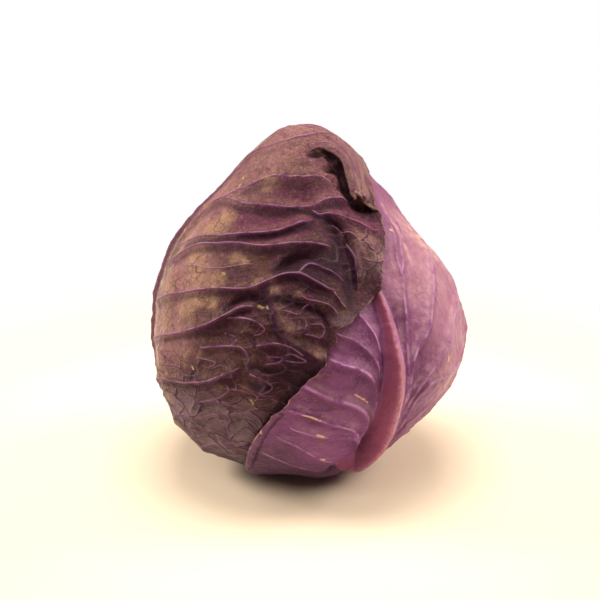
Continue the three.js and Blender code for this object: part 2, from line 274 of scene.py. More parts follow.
class Leaf:
    """A leaf's chart: bearings round its middle, and how far it reaches on each bearing."""

    def __init__(self, name, middle, outline):
        self.name = name
        self.cells, self.net_height, self.crinkle, self.margin_lift, self.ragged = FIGURES[name]
        self.centre = aim([middle])[0]
        self.north = unit(np.array([0, 0, 1.0]) - self.centre * self.centre[2])
        self.east = np.cross(self.north, self.centre)
        self.rim = curve(outline, closed=True, steps=16)
        reach, bearing = self.locate(self.rim)
        order = np.argsort(bearing)
        self.bearings, self.reaches = bearing[order], reach[order]
        turn = np.diff(self.bearings, append=self.bearings[0] + 2 * np.pi)
        rise = np.diff(self.reaches, append=self.reaches[0])
        self.slants = rise / np.maximum(turn, 1e-4) / np.sin(self.reaches)

    def locate(self, d):
        """Reach and bearing, rounded so that the leaf's middle line falls on one side in every run."""
        sideways = np.round(d @ self.east, 12) + 0.0
        return np.arccos(np.clip(d @ self.centre, -1, 1)), np.arctan2(sideways, d @ self.north)

    def edge(self, bearing):
        return np.interp(bearing, self.bearings, self.reaches, period=2 * np.pi)

    def slant(self, bearing):
        k = np.searchsorted(self.bearings, bearing) - 1
        return self.slants[k]

    def outside(self, d):
        """Distance outside the edge in millimetres, negative inside it."""
        reach, bearing = self.locate(d)
        return (reach - self.edge(bearing)) * MEAN_RADIUS / np.hypot(1, self.slant(bearing))

    def covers(self, d):
        return 1 - smoothstep(self.outside(d), EDGE_REST, DRAPE_WIDTH)

    def covers_softly(self, d):
        return 1 - smoothstep(self.outside(d), -BLEND_WIDTH, BLEND_WIDTH)

    def direction(self, reach, bearing):
        flat = np.cos(bearing)[:, None] * self.north + np.sin(bearing)[:, None] * self.east
        return np.cos(reach)[:, None] * self.centre + np.sin(reach)[:, None] * flat


LEAVES = [Leaf(name, *shape) for name, shape in OUTLINES.items()]
ORDER = {leaf.name: k for k, leaf in enumerate(LEAVES)}


def share_over(upper, lower, d):
    """How much the upper leaf rides on the lower one, 0 to 1: the outer pair change places."""
    away = MEAN_RADIUS * np.linalg.norm(d - aim([CROSSING]), axis=1)
    turn = CROSSING_TURN + CROSSING_SPREAD * away
    below = smoothstep(polar_of(d), CROSSING[1] - turn, CROSSING[1] + turn)
    pair = (upper.name, lower.name)
    if pair == ("leaf_1", "leaf_2"):
        return 1 - below
    if pair == ("leaf_2", "leaf_1"):
        return below
    return np.full(len(d), float(ORDER[lower.name] > ORDER[upper.name]))


def plain_skin(d):
    """Radius of the head without its dents, if nothing lay under its leaves."""
    polar = polar_of(d)
    sideways = d[:, 0] / np.maximum(np.hypot(d[:, 0], d[:, 1]), 1e-6)
    upright = profile(HEAD_PROFILE, polar) - profile(INSET_PROFILE, polar)
    return upright + profile(LEAN_PROFILE, polar) * sideways


def uneven(d):
    return ripples(d, BALL_WAVES)


def dents(d):
    """Bulges, hollows and long dents, which run out towards their ends, on a slightly uneven ball."""
    total = spots(d, MOUNDS)
    for points, width, depth in GROOVES:
        _, share, gap = beside(d, even(curve(points)))
        fading = np.sin(np.pi * (GROOVE_END + GROOVE_LENGTH * share))
        total -= depth * np.exp(-((gap / width) ** 2)) * fading
    return total + uneven(d) + ripples(d, HEAD_WAVES)


def heart_radius(d, relief=dents):
    """Radius of the heart's skin: the head's, less all the leaves that lie over it."""
    layers = sum(leaf.covers_softly(d) for leaf in LEAVES)
    return plain_skin(d) + relief(d) - STEP * layers


def inner_radius(leaf, d, relief=dents):
    """Radius of a leaf's inner face, on the leaves below it."""
    layers = sum(share_over(leaf, low, d) * low.covers(d) for low in LEAVES if low is not leaf)
    return heart_radius(d, relief) + GAP + STEP * layers


def exposure(leaf, d):
    """1 where nothing lies on the leaf, 0 once it is well under another leaf."""
    shown = np.ones(len(d))
    for upper in LEAVES:
        if upper is leaf:
            continue
        hidden = 1 - smoothstep(upper.outside(d), *HIDING)
        shown *= 1 - share_over(upper, leaf, d) * hidden
    return shown


# ---- Veins ----
# A row is a vein's path; its crest's height and half width and its tent's height, each as a pair from
# root to tip; the tent's half width; how far the tent leans; and how strongly the vein is coloured.
# The tent is the blade's rise on both sides of a vein.

HIDDEN_RIB = ((4.0, 0.5), (5.0, 1.3), (1.0, 0.4), 8)
MIDRIB_ROWS = {
    "leaf_1": ([(174, 162), (173, 140), (174, 120), (177, 104), (180, 92), (-180, 80), (178, 71), (175, 63),
                (173, 55), (172, 46), (175, 36), (-179, 27), (-170, 18)],
               (3.2, 0.8), (4.6, 1.7), (1.4, 0.4), 7),
    "leaf_2": ([(-67, 129), (-60.5, 126), (-58.5, 117), (-58.5, 106), (-58, 97), (-57, 90), (-57, 83),
                (-56.5, 76), (-56.5, 69), (-57, 61), (-56, 50), (-50, 38)],
               (8.8, 0.3), (9.4, 0.6), (0.8, 0.3), 7),
    "leaf_3": ([(84, 162), (82, 135), (80, 105), (78, 80), (74, 58), (66, 42), (50, 26)],
               (5, 0.7), (6.4, 1.3), (1, 0.4), 8),
    "leaf_4": ([(-6, 162), (-4, 135), (-2, 105), (0, 80), (4, 58), (8, 42)], *HIDDEN_RIB),
    "leaf_5": ([(131, 162), (130, 135), (128, 105), (126, 80), (124, 58), (122, 38)], *HIDDEN_RIB),
    "leaf_6": ([(-143, 162), (-143, 130), (-140, 100), (-138, 75), (-134, 52)], *HIDDEN_RIB),
}

# The side veins of the two outer leaves, from the crown down
SIDE_VEIN_ROWS = {
    "leaf_1": [
        ([(178, 40), (168, 23), (-164, 13), (-126, 7), (-25, 6), (17, 13)],
         (0.5, 0.4), (0.8, 0.6), (0.8, 0.8), 6, 0.3),
        ([(172, 24), (167, 19), (160, 13), (150, 8), (168, 3), (-37, 1.5), (-5, 5.5), (7, 10.5)],
         (0.4, 0.3), (0.7, 0.5), (0.6, 0.5), 4),
        ([(178, 44), (-163, 36), (-145, 26), (-121, 19), (-100, 18), (-73, 18), (-58, 20)],
         (0.5, 0.2), (0.8, 0.5), (0.9, 1.6), 6, 0.4),
        ([(-178, 52), (-166, 39), (-155, 32), (-136, 30), (-116, 28), (-87, 27), (-73, 25), (-60, 25),
          (-49, 28)], (0.5, 0.3), (0.8, 0.6), (1.2, 2.6), 6, 0.4),
        ([(-87, 27), (-82, 30), (-69, 30), (-55, 34), (-48, 38), (-40, 40)],
         (0.4, 0.3), (0.7, 0.5), (2, 0.8), 4, 0.3),
        ([(-176, 60), (-156, 49), (-137, 43), (-116, 38), (-101, 35), (-88, 33), (-82, 31)],
         (0.5, 0.5), (0.8, 0.8), (1, 3.6), 7, 0.5),
        ([(-176, 68), (-166, 60), (-154, 52), (-141, 47), (-129, 44), (-115, 43), (-95, 41), (-86, 41),
          (-72, 43)], (0.6, 0.3), (0.9, 0.6), (1.4, 2.2), 7, 0.5),
        ([(-170, 66), (-160, 58), (-152, 58), (-143, 56), (-135, 55), (-129, 53.5), (-118, 50),
          (-111, 49.5)], (0.25, 0.2), (0.45, 0.4), (0.3, 0.4), 4),
        ([(-174, 81), (-166, 76), (-158, 72), (-150, 68.5), (-142, 65.5), (-135, 63), (-128, 61),
          (-122, 60), (-116, 59), (-111, 57.5), (-105.5, 55), (-100, 52.5), (-93, 52), (-86, 55), (-79, 58),
          (-73, 58)], (0.6, 0.3), (0.9, 0.6), (1, 2.4), 5, 0.5),
        ([(-93, 52), (-88, 48.5), (-80.5, 50.5), (-77, 52), (-72.5, 55.5)],
         (0.5, 0.3), (0.7, 0.5), (1.8, 1), 4, 0.3),
        ([(-172, 95), (-166, 91), (-153, 85), (-143, 81), (-136, 78), (-128, 74), (-122, 70), (-116, 66),
          (-112, 65), (-108, 66)], (0.7, 0.6), (0.9, 0.8), (1, 3), 5, 0.5),
        ([(-122, 71), (-115.5, 69.5), (-109, 70), (-105.5, 72.5), (-107, 74), (-110, 75)],
         (0.4, 0.3), (0.7, 0.5), (1.6, 1), 4, 0.3),
        ([(-105.5, 55.5), (-103.5, 59), (-102.5, 63), (-100, 69), (-97, 74), (-92, 77.5), (-88.5, 79.5),
          (-83, 83)], (0.3, 0.3), (1.4, 1), (2.6, 3.4), 3.2, -0.2, 0.25),
        ([(-170, 111), (-162, 105), (-150, 100.5), (-141, 99), (-132.5, 96.5), (-127, 94.5), (-119.5, 90.5),
          (-111.5, 86)], (0.6, 0.5), (0.9, 0.7), (1.2, 2), 6, 0.4),
        ([(-133, 84), (-129.5, 83), (-120.5, 80.5), (-113, 80), (-110.5, 83.5), (-111.5, 86)],
         (0.5, 0.4), (0.7, 0.6), (1.4, 1.4), 5, 0.4),
        ([(-109, 79), (-105.5, 78), (-101, 77), (-95, 78), (-90, 81)],
         (0.5, 0.3), (0.7, 0.5), (1.8, 1.2), 4, 0.3),
        ([(-167, 128), (-155, 118), (-142, 112), (-134.5, 111), (-124.5, 108), (-115.5, 105.5),
          (-104, 101)], (0.5, 0.3), (0.7, 0.5), (1, 0.9), 6, 0.3),
        ([(-166, 144), (-150, 133), (-136, 126), (-123, 121), (-112, 118)],
         (0.5, 0.3), (0.8, 0.5), (1, 0.9), 6, 0.3),
        ([(-76, 32.5), (-70, 34.5), (-66.5, 38), (-65, 44), (-65, 50), (-66, 56)],
         (0.3, 0.3), (0.6, 0.5), (1.4, 1.2), 2.5),
    ],
    "leaf_2": [
        ([(-49, 126), (-53, 104), (-52, 93), (-51, 84), (-49, 75), (-46, 66), (-41, 58), (-38, 50),
          (-31, 43), (-25, 37), (-20, 30)], (1.1, 0.4), (1.3, 0.8), (1.3, 1), 5),
        ([(-41, 58), (-37, 54), (-30, 47), (-20, 42), (-9, 36), (-8, 28)],
         (0.6, 0.3), (1, 0.6), (0.7, 0.5), 5),
        ([(-52, 112), (-51, 95), (-49, 88), (-45, 84), (-39, 79), (-30, 70), (-21, 64), (-11, 59), (0, 55),
          (10, 48), (12, 40), (4, 30)], (1.2, 0.5), (1.3, 0.9), (1.5, 1.2), 5),
        ([(-49, 112), (-48, 102), (-44, 97), (-34, 90), (-23, 84), (-9, 78), (2, 74), (10, 66), (16, 56)],
         (1.2, 0.5), (1.2, 0.8), (1.7, 1.2), 5),
        ([(-46, 124), (-47, 112), (-46, 105), (-42, 100), (-36, 99), (-26, 99), (-19, 98), (-8, 94)],
         (1, 0.4), (1.1, 0.8), (1.6, 1), 5),
        ([(-44, 128), (-42, 116), (-35, 111), (-25, 111), (-16, 108)], (0.8, 0.3), (1, 0.7), (1.2, 0.8), 5),
        ([(-62.7, 100), (-62.4, 90), (-62.2, 83), (-63, 77.5), (-65, 73), (-68.5, 68), (-74, 62)],
         (0.7, 0.4), (1.1, 0.8), (0.7, 0.7), 5),
        ([(-63.9, 108), (-63.6, 97), (-63.4, 89), (-64.8, 84.5), (-67.8, 80.5), (-72.5, 76.5), (-78, 74),
          (-85, 70)], (0.7, 0.4), (1.2, 0.8), (0.8, 0.7), 5),
        ([(-65.4, 113), (-65, 101), (-65.4, 94), (-67.6, 89.5), (-72, 86), (-77.5, 84), (-83, 81.5)],
         (0.8, 0.5), (1.3, 0.9), (1, 0.9), 5),
        ([(-67, 121), (-66.6, 111), (-68, 104.5), (-71.5, 100), (-76.5, 97), (-82, 95), (-87, 92.5),
          (-92, 90)], (0.9, 0.8), (1.5, 1.3), (1.2, 1.4), 5),
        ([(-68.4, 127), (-68.2, 119), (-70, 113.5), (-73, 109.5), (-78, 106.5), (-84.5, 104),
          (-90.5, 101.5), (-97, 100)], (0.9, 0.6), (1.4, 1), (1.2, 1.2), 5),
        ([(-66, 124), (-70, 116), (-75, 113.5), (-80.5, 113), (-86, 112), (-90.5, 110.5), (-97, 108)],
         (0.6, 0.4), (1, 0.8), (0.7, 0.9), 5),
        ([(-70, 131), (-77, 127.5), (-81.5, 126.5), (-86, 123.5), (-91.5, 119.5), (-96, 116.5),
          (-102, 112)], (0.7, 0.4), (1.1, 0.8), (0.8, 0.8), 5),
        ([(-72, 138), (-80, 137), (-90, 134), (-100, 128), (-109, 121)],
         (0.5, 0.3), (1, 0.7), (0.6, 0.5), 5),
    ],
}

# Small veins that join the side veins of leaf_1 into rounded cells
CROSS_VEINS = [
    [(-79, 58), (-77, 60.5), (-75.5, 63), (-74, 65)],
    [(-94, 57.5), (-90, 61), (-85.5, 62), (-80.5, 63.5), (-78.5, 65.5), (-77, 68.5)],
    [(-101, 65.5), (-97.5, 65.5), (-92, 66.5), (-91, 64.5), (-88, 62.5)],
    [(-92, 66.5), (-89.5, 69.5), (-90.5, 72), (-94, 73), (-97.5, 73)],
    [(-89.5, 70), (-84, 70), (-83, 72), (-84.5, 74.5), (-87, 74), (-91.5, 73)],
    [(-98, 81.5), (-95, 80), (-92, 81), (-89.5, 82.5), (-93.5, 83), (-98, 82.5)],
    [(-105, 82), (-98, 82), (-99, 83.5), (-105, 85)],
    [(-121, 93.5), (-117.5, 95.5), (-119.5, 98), (-127.5, 103), (-133, 105), (-138, 109)],
    [(-136, 102.5), (-131, 100.5), (-125, 98)],
    [(-117.5, 95.5), (-111, 95.5), (-108, 95.5), (-107, 97), (-109, 99.5)],
    [(-111, 88.5), (-104.5, 90), (-101.5, 92.5), (-103, 94), (-107, 95.5)],
    [(-127.5, 109.5), (-120.5, 111), (-123.5, 113), (-134, 118)],
    [(-124, 102), (-120, 101.5), (-116, 102.5), (-112, 104)],
    [(-133.5, 118.5), (-128, 120.5), (-131, 124)],
    [(-133, 87), (-125.5, 87), (-124, 87.5), (-127, 90)],
    [(-154.5, 91), (-147, 92), (-148, 95), (-152, 98)],
    [(-122, 76), (-116, 77), (-118, 80)],
    [(-70, 34), (-63, 37), (-60, 42), (-62, 47)],
    [(-60, 42), (-53, 44), (-47, 43)],
    [(-62, 47), (-57, 50), (-54, 55), (-58, 58)],
    [(-57, 50), (-50, 51)],
]

# The figures that they all have
CROSS_VEIN = ((0.35, 0.3), (0.5, 0.45), (0.9, 0.8), 2.6, 0.0, 0.7)

# The other side veins leave the midrib at even steps: how many a side, the first one's share of the
# way along it and the share that they spread over, and their reach in radians
LATERAL_COUNTS = {"leaf_3": 9, "leaf_4": 8, "leaf_5": 8, "leaf_6": 7}
LATERAL_REACH = 0.95
FIRST_LATERAL = 0.10
LATERAL_SPAN = 0.78

# How much of that reach the last one lacks; how they wander; and their figures
LATERAL_LACK = 0.35
LATERAL_WANDER = 0.02
LATERAL = ((0.8, 0.3), (1.0, 0.6), (1.3, 0.9), 7.0)
LATERAL_LEAN = 0.2


def vein(line, crest, width, tent, flank, lean=0.0, tint=1.0):
    return {
        "path": even(line), "crest": crest, "width": width, "tent": tent, "flank": flank,
        "lean": lean, "tint": tint,
    }


def laterals(rib, count, sides, seed):
    """Side veins that leave a midrib at even steps, swing out and bend up towards the tip."""
    rng = np.random.default_rng(seed)
    path = rib["path"]
    last = len(path) - 1
    grown = []
    for side in sides:
        for k in range(count):
            at = int((FIRST_LATERAL + LATERAL_SPAN * (k + rng.uniform(-0.2, 0.2)) / count) * last)
            root = path[at]
            ahead = unit(path[min(at + 2, last)] - path[at - 1])
            across = side * np.cross(root, ahead)
            length = LATERAL_REACH * (1 - LATERAL_LACK * k / count)
            t = np.linspace(0, 1, 40)[:, None]
            wander = LATERAL_WANDER * np.sin(7 * t + rng.uniform(0, 6))
            bend = 0.25 * t + 0.42 * t * t + wander
            line = unit(root + length * (across * t * (1 - 0.12 * t) + ahead * bend))
            grown.append(vein(line, *LATERAL, LATERAL_LEAN * side))
    return grown


MIDRIBS = {name: vein(curve(points), *figures) for name, (points, *figures) in MIDRIB_ROWS.items()}
SIDE_VEINS = {}
for name, rows in SIDE_VEIN_ROWS.items():
    SIDE_VEINS[name] = [vein(curve(points), *figures) for points, *figures in rows]
SIDE_VEINS["leaf_1"] += laterals(MIDRIBS["leaf_1"], 8, (1,), 11)
SIDE_VEINS["leaf_1"] += [vein(curve(points), *CROSS_VEIN) for points in CROSS_VEINS]
for name, count in LATERAL_COUNTS.items():
    SIDE_VEINS[name] = laterals(MIDRIBS[name], count, (-1, 1), 20 + count + ORDER[name])


def taper(ends, share):
    return ends[0] + (ends[1] - ends[0]) * share


def close_to(d, path, reach):
    """Which directions may lie within a reach of a line, in millimetres."""
    middle = unit(path.mean(axis=0))
    spread = np.arccos(np.clip((path @ middle).min(), -1, 1)) + reach / MEAN_RADIUS
    return np.flatnonzero(d @ middle > math.cos(min(spread, math.pi)))


# A tent rises steeply to its crest. Beside a tent of the full height, painted light goes on its upper flank
# and painted shade on its lower flank.
TENT_FALL = 1.6
TENT_ROUND = 0.6
FULL_TENT = 2.6
FLANK_AT = 2.4
FLANK_WIDTH = 2.0


def side_vein_relief(d, veins):
    """Height of the side veins; how near their lines are (0 to 1) and on which side; and the bands on their
    upper flanks for painted light and on their lower flanks for painted shade.
    """
    lift, near = np.zeros(len(d)), np.zeros(len(d))
    upper, lower, signed = np.zeros(len(d)), np.zeros(len(d)), np.full(len(d), 3.0)
    for one in veins:
        at = close_to(d, one["path"], 4 * one["flank"])
        side, share, gap = beside(d[at], one["path"])
        upward = np.cross(one["path"][:-1], np.diff(one["path"], axis=0))[:, 2].sum()
        rise = np.copysign(side, side * upward)
        ends = smoothstep(share, 0, 0.14) * (1 - smoothstep(share, 0.9, 1.0))
        width = taper(one["width"], share)
        line = one["tint"] * ends * np.exp(-((gap / width) ** 2))
        reach = one["flank"] * np.where(side > 0, 1 + one["lean"], 1 - one["lean"])
        tent = taper(one["tent"], share)
        crest = taper(one["crest"], share) * ends * np.exp(-((gap / width) ** 2))
        slope = np.exp(-TENT_FALL * (np.hypot(gap, TENT_ROUND) - TENT_ROUND) / reach)
        lift[at] += (crest + ends * tent * slope) ** 3
        signed[at] = np.where(line > near[at], np.clip(rise / width, -3, 3), signed[at])
        near[at] = np.maximum(near[at], line)
        # Bands beside the line: painted light above it, painted shade below it
        steep = ends * np.clip(tent / FULL_TENT, 0, 1) * np.exp(-(gap - np.abs(side)))
        for flank, middle in ((upper, FLANK_AT), (lower, -FLANK_AT)):
            flank[at] = np.maximum(flank[at], steep * np.exp(-(((rise - middle) / FLANK_WIDTH) ** 2)))
    return lift ** (1 / 3), near, signed, upper, lower


# A midrib is part round top and part foot, which runs out into the blade, and its colour starts and is
# full at these shares of its half width inside its edge
TOP_SHARE = 0.55
FOOT_SHARE = 0.45
FOOT_FALL = 1.8
RIB_EDGE = (-0.1, 0.12)


def midrib_relief(d, rib):
    """A rounded rib that is broad and high at the stem and thin at the tip; also its nearness and side."""
    side, share, gap = beside(d, rib["path"])
    width = taper(rib["width"], share)
    height = taper(rib["crest"], share) * (1 - smoothstep(share, 0.92, 1))
    round_top = np.sqrt(np.clip(1 - (gap / width) ** 2, 0, 1))
    foot = np.exp(-((gap / width) ** 2) * FOOT_FALL)
    lift = height * (TOP_SHARE * round_top + FOOT_SHARE * foot)
    return lift, smoothstep(1 - gap / width, *RIB_EDGE), np.clip(side / width, -1, 1)


class Net:
    """Small veins that part the blade into cells: the edges between seeds spread over the head."""

    TRIES = 9000
    CHUNK = 8000

    def __init__(self, cell, seed, squat):
        rng = np.random.default_rng(seed)
        self.stretch = np.array([1, 1, squat])
        tries = unit(rng.normal(size=(self.TRIES, 3))) * self.stretch
        apart = cell / MEAN_RADIUS * math.sqrt(squat)
        kept = np.full((len(tries), 3), 9.0)
        count = 0
        for one in tries:
            if count == 0 or ((kept[:count] - one) ** 2).sum(axis=1).min() > apart**2:
                kept[count] = one
                count += 1
        self.seeds = kept[:count]

    def edge_gap(self, d, warp, seed):
        """Distance from the nearest edge between two cells, in millimetres, with a sign for its sides."""
        bend = np.stack([ripple(d, 17, seed + k) for k in range(3)], -1) * warp / MEAN_RADIUS
        q = (d + bend) * self.stretch
        gap = np.zeros(len(q))
        size = np.sum(self.seeds**2, axis=1)
        for start in range(0, len(q), self.CHUNK):
            chunk = slice(start, start + self.CHUNK)
            here = d[chunk]
            score = size - 2 * q[chunk] @ self.seeds.T
            two = np.argpartition(score, 1, axis=1)[:, :2]
            value = np.take_along_axis(score, two, axis=1)
            first, second = self.seeds[two[:, 0]], self.seeds[two[:, 1]]
            apart = np.linalg.norm(first - second, axis=1)
            step = (second - first) / self.stretch
            turned = np.where(step[:, 1] * here[:, 0] - step[:, 0] * here[:, 1] - step[:, 2] > 0, 1, -1)
            gap[chunk] = turned * (value[:, 1] - value[:, 0]) / (2 * apart) * MEAN_RADIUS
        return gap


# Cells about 12 mm wide and 5 mm tall
NET = Net(7.4, 5, 2.5)

# Where leaf_1's net is strongest: azimuth, polar, size, share
NET_PLACES = [
    (-124, 114, 28, 1), (-54, 47, 12, 0.9), (-150, 105, 25, 0.5), (-106, 94, 16, 0.5), (150, 105, 40, 0.5),
    (150, 50, 25, 0.3), (-98, 66, 18, 0.35), (-72, 42, 12, 0.3),
]

# Where margins stand off further: azimuth, polar, size, height
LIFTS = {
    "leaf_1": [(-79, 71, 4, 2), (-83, 83, 3, 1.6), (-38, 36, 8, 0.8), (-50, 51, 8, 0.8)],
    "leaf_2": [
        (-108, 112, 9, 1.2), (-114, 128, 9, 1.2), (-119, 141, 8, 0.6), (-3, 89, 5, 0.8), (-14, 110, 9, 1),
    ],
    "leaf_3": [(42, 60, 14, 1.2), (146, 90, 14, 1)],
}

# A leaf lifts towards its margin over one width and thins over another. Where leaf_1 lies on the
# midrib of leaf_2 it swells, and that midrib keeps most of its height under it.
MARGIN_WIDTH = 9
MARGIN_THICKNESS = 0.45
THIN_WIDTH = 6
SWELL = 1.1
KEPT_RIB = {"leaf_2": 0.8}

# The net's relief: how far its lines wander, a line's height and half width, the height and width of
# the slopes up to it, and the least and most of the net on leaf_1
NET_WANDER = 1.3
NET_RIDGE = 0.3
NET_RIDGE_HALF = 0.5
NET_SLOPE = 0.9
NET_SLOPE_WIDTH = 2.2
NET_LEAST = 0.15
NET_MOST = 1.3

# A blade's puckers and crinkles in rows for ripples(), and the height and size of its folds
PUCKERS = [(0.5, 22, 5)]
CRINKLES = [(0.6, 7, 7), (0.4, 3.6, 8)]
FOLD_HEIGHT = 0.9
FOLD_SIZE = 26


def blade(leaf, d, inside):
    """Everything about a leaf at some directions: radii of its faces and the values its finish uses."""
    shown = exposure(leaf, d)
    rib_lift, rib_near, rib_side = midrib_relief(d, MIDRIBS[leaf.name])
    vein_lift, vein_near, vein_side, upper, lower = side_vein_relief(d, SIDE_VEINS[leaf.name])
    off_rib = 1 - smoothstep(rib_near, 0.2, 1)
    vein_near = vein_near * off_rib
    seed = 40 + 7 * ORDER[leaf.name]
    net_side = NET.edge_gap(d, NET_WANDER, seed)
    coarse = np.abs(net_side)
    clear = off_rib * (1 - smoothstep(vein_near, 0.3, 0.9))
    strength = leaf.net_height * np.ones(len(d))
    if leaf.name == "leaf_1":
        strength *= np.clip(NET_LEAST + spots(d, NET_PLACES), 0, NET_MOST)
    ridge = NET_RIDGE * np.exp(-((coarse / NET_RIDGE_HALF) ** 2))
    slope = NET_SLOPE * np.exp(-np.hypot(coarse, NET_RIDGE_HALF) / NET_SLOPE_WIDTH)
    net_lift = strength * clear * (ridge + slope)
    pucker = strength * (ripples(d, PUCKERS, seed) + FOLD_HEIGHT * folds(d, FOLD_SIZE, seed + 6))
    pucker += leaf.crinkle * ripples(d, CRINKLES, seed)
    margin = 1 - smoothstep(inside, 0, MARGIN_WIDTH)
    lifted = leaf.margin_lift * margin**2 * shown
    lifted += spots(d, LIFTS.get(leaf.name, [])) * margin * shown
    inner = inner_radius(leaf, d) + lifted
    if leaf.name == "leaf_1":
        lower_leaf = LEAVES[1]
        over = share_over(leaf, lower_leaf, d) * (1 - smoothstep(lower_leaf.outside(d), -6, 0))
        inner += over * midrib_relief(d, MIDRIBS["leaf_2"])[0] * SWELL
    rib_lift *= np.maximum(shown, KEPT_RIB.get(leaf.name, 0))
    thickness = MARGIN_THICKNESS + (THICKNESS - MARGIN_THICKNESS) * smoothstep(inside, 0, THIN_WIDTH)
    return {
        "inner": inner,
        "outer": inner + thickness + rib_lift + shown * (vein_lift * off_rib + net_lift + pucker),
        "vein": vein_near * shown,
        "vein_side": vein_side,
        # Where painted light (upper) and painted shade (lower) go on the vein flanks
        "upper": upper * off_rib,
        "lower": lower * off_rib,
        "net": np.exp(-(coarse**2)) * clear,
        "net_side": np.clip(net_side, -3, 3),
        "rib": rib_near,
        "rib_side": rib_side,
        "inside": inside,
        "strength": strength,
    }


# ---- Meshes ----


def place(d, radius):
    """Points at a radius along each direction; the lowest are eased up so that they clear the floor."""
    points = CENTRE + d * radius[:, None]
    low = points[:, 2]
    eased = FLOOR_CLEARANCE + (NEAR_FLOOR - FLOOR_CLEARANCE) * np.exp((low - NEAR_FLOOR) / NEAR_FLOOR)
    points[:, 2] = np.where(low < NEAR_FLOOR, eased, low)
    return points


def disc(cells):
    """A square grid rounded to a disc: distance from the middle 0 to 1, and bearing."""
    x, y = np.meshgrid(np.linspace(-1, 1, cells + 1), np.linspace(-1, 1, cells + 1))
    east, north = x * np.sqrt(1 - y * y / 2), y * np.sqrt(1 - x * x / 2)
    return np.hypot(east, north).ravel(), np.arctan2(east, north).ravel()


def grid_quads(columns, rows):
    at = np.arange((columns + 1) * (rows + 1)).reshape(rows + 1, columns + 1)
    return np.stack([at[:-1, :-1], at[:-1, 1:], at[1:, 1:], at[1:, :-1]], -1).reshape(-1, 4)


def grid_rim(columns, rows):
    at = np.arange((columns + 1) * (rows + 1)).reshape(rows + 1, columns + 1)
    return np.concatenate([at[0, :-1], at[:-1, -1], at[-1, :0:-1], at[:0:-1, 0]])


def mesh_object(name, points, faces, values):
    """A smooth shaded mesh from millimetre points, with named values on its points for the finish."""
    mesh = bpy.data.meshes.new(name)
    sizes = np.concatenate([np.full(len(f), f.shape[1]) for f in faces])
    corners = np.concatenate([f.ravel() for f in faces])
    mesh.vertices.add(len(points))
    mesh.vertices.foreach_set("co", (points * MM).astype(np.float32).ravel())
    mesh.loops.add(len(corners))
    mesh.loops.foreach_set("vertex_index", corners.astype(np.int32))
    mesh.polygons.add(len(sizes))
    starts = np.concatenate([[0], np.cumsum(sizes)[:-1]])
    mesh.polygons.foreach_set("loop_start", starts.astype(np.int32))
    mesh.polygons.foreach_set("use_smooth", np.ones(len(sizes), bool))
    for key, value in values.items():
        mesh.attributes.new(key, "FLOAT", "POINT").data.foreach_set("value", value.astype(np.float32))
    mesh.update(calc_edges=True)
    mesh.validate()
    made = bpy.data.objects.new(name, mesh)
    bpy.context.scene.collection.objects.link(made)
    return made


# The lip lies this far inside the margin and below the outer face, and the inner face starts further in
LIP_INSET = 0.15
LIP_DEPTH = 0.4
INNER_INSET = 1.2

# A ragged margin's bays and teeth, and the share of the way out at which they start to pull the sheet;
# past the other share the distance to the margin is measured
RAGS = [(0.6, 13, 0), (0.45, 4.5, 9)]
RAG_FROM = 0.85
MEASURED_FROM = 0.6


def leaf_sheet(leaf):
    """A closed sheet: a fine outer face, a coarse inner one, and a thin lip between them at the margin."""
    coarse_cells = leaf.cells // (INNER_SHARE * 1)
    cells = coarse_cells * INNER_SHARE
    share, bearing = disc(cells)
    edge = leaf.edge(bearing)
    rim_way = leaf.direction(edge, bearing)
    seed = 70 + ORDER[leaf.name]
    rag = leaf.ragged * ripples(rim_way, RAGS, seed)
    reach = share * edge + smoothstep(share, RAG_FROM, 1) * rag / MEAN_RADIUS
    d = leaf.direction(reach, bearing)
    inside = (1 - share) * edge * MEAN_RADIUS
    near = share > MEASURED_FROM
    smooth = leaf.direction(share[near] * edge[near], bearing[near])
    inside[near] = np.minimum(inside[near], beside(smooth, leaf.rim)[2])
    face = blade(leaf, d, inside)
    rim = grid_rim(cells, cells)
    lip_way = leaf.direction(reach[rim] - LIP_INSET / MEAN_RADIUS, bearing[rim])
    share_in, bearing_in = disc(coarse_cells)
    edge_in = leaf.edge(bearing_in)
    d_in = leaf.direction(share_in * (edge_in - INNER_INSET / MEAN_RADIUS), bearing_in)
    inside_in = (1 - share_in) * edge_in * MEAN_RADIUS
    under = blade(leaf, d_in, inside_in)
    outer_points = place(d, face["outer"])
    lip_points = place(lip_way, face["outer"][rim] - LIP_DEPTH)
    inner_points = place(d_in, under["inner"])
    lip_at = len(outer_points) + np.arange(len(rim))
    inner_at = len(outer_points) + len(rim)
    ahead = np.roll(np.arange(len(rim)), -1)
    quads = [grid_quads(cells, cells), np.stack([rim, lip_at, lip_at[ahead], rim[ahead]], -1)]
    rim_in = inner_at + grid_rim(coarse_cells, coarse_cells)
    nearest_in = np.arange(len(rim)) // INNER_SHARE
    near_in = rim_in[nearest_in]
    after_in = rim_in[(nearest_in + 1) % len(rim_in)]
    fans = [np.stack([lip_at, near_in, lip_at[ahead]], -1)]
    turns = np.arange(INNER_SHARE - 1, len(rim), INNER_SHARE)
    fans.append(np.stack([lip_at[ahead][turns], near_in[turns], after_in[turns]], -1))
    inner_quads = inner_at + grid_quads(coarse_cells, coarse_cells)[:, ::-1]
    values = {}
    for key in face:
        if key not in ("inner", "outer"):
            values[key] = np.concatenate([face[key], face[key][rim], under[key]])
    return np.concatenate([outer_points, lip_points, inner_points]), [*quads, inner_quads, *fans], values


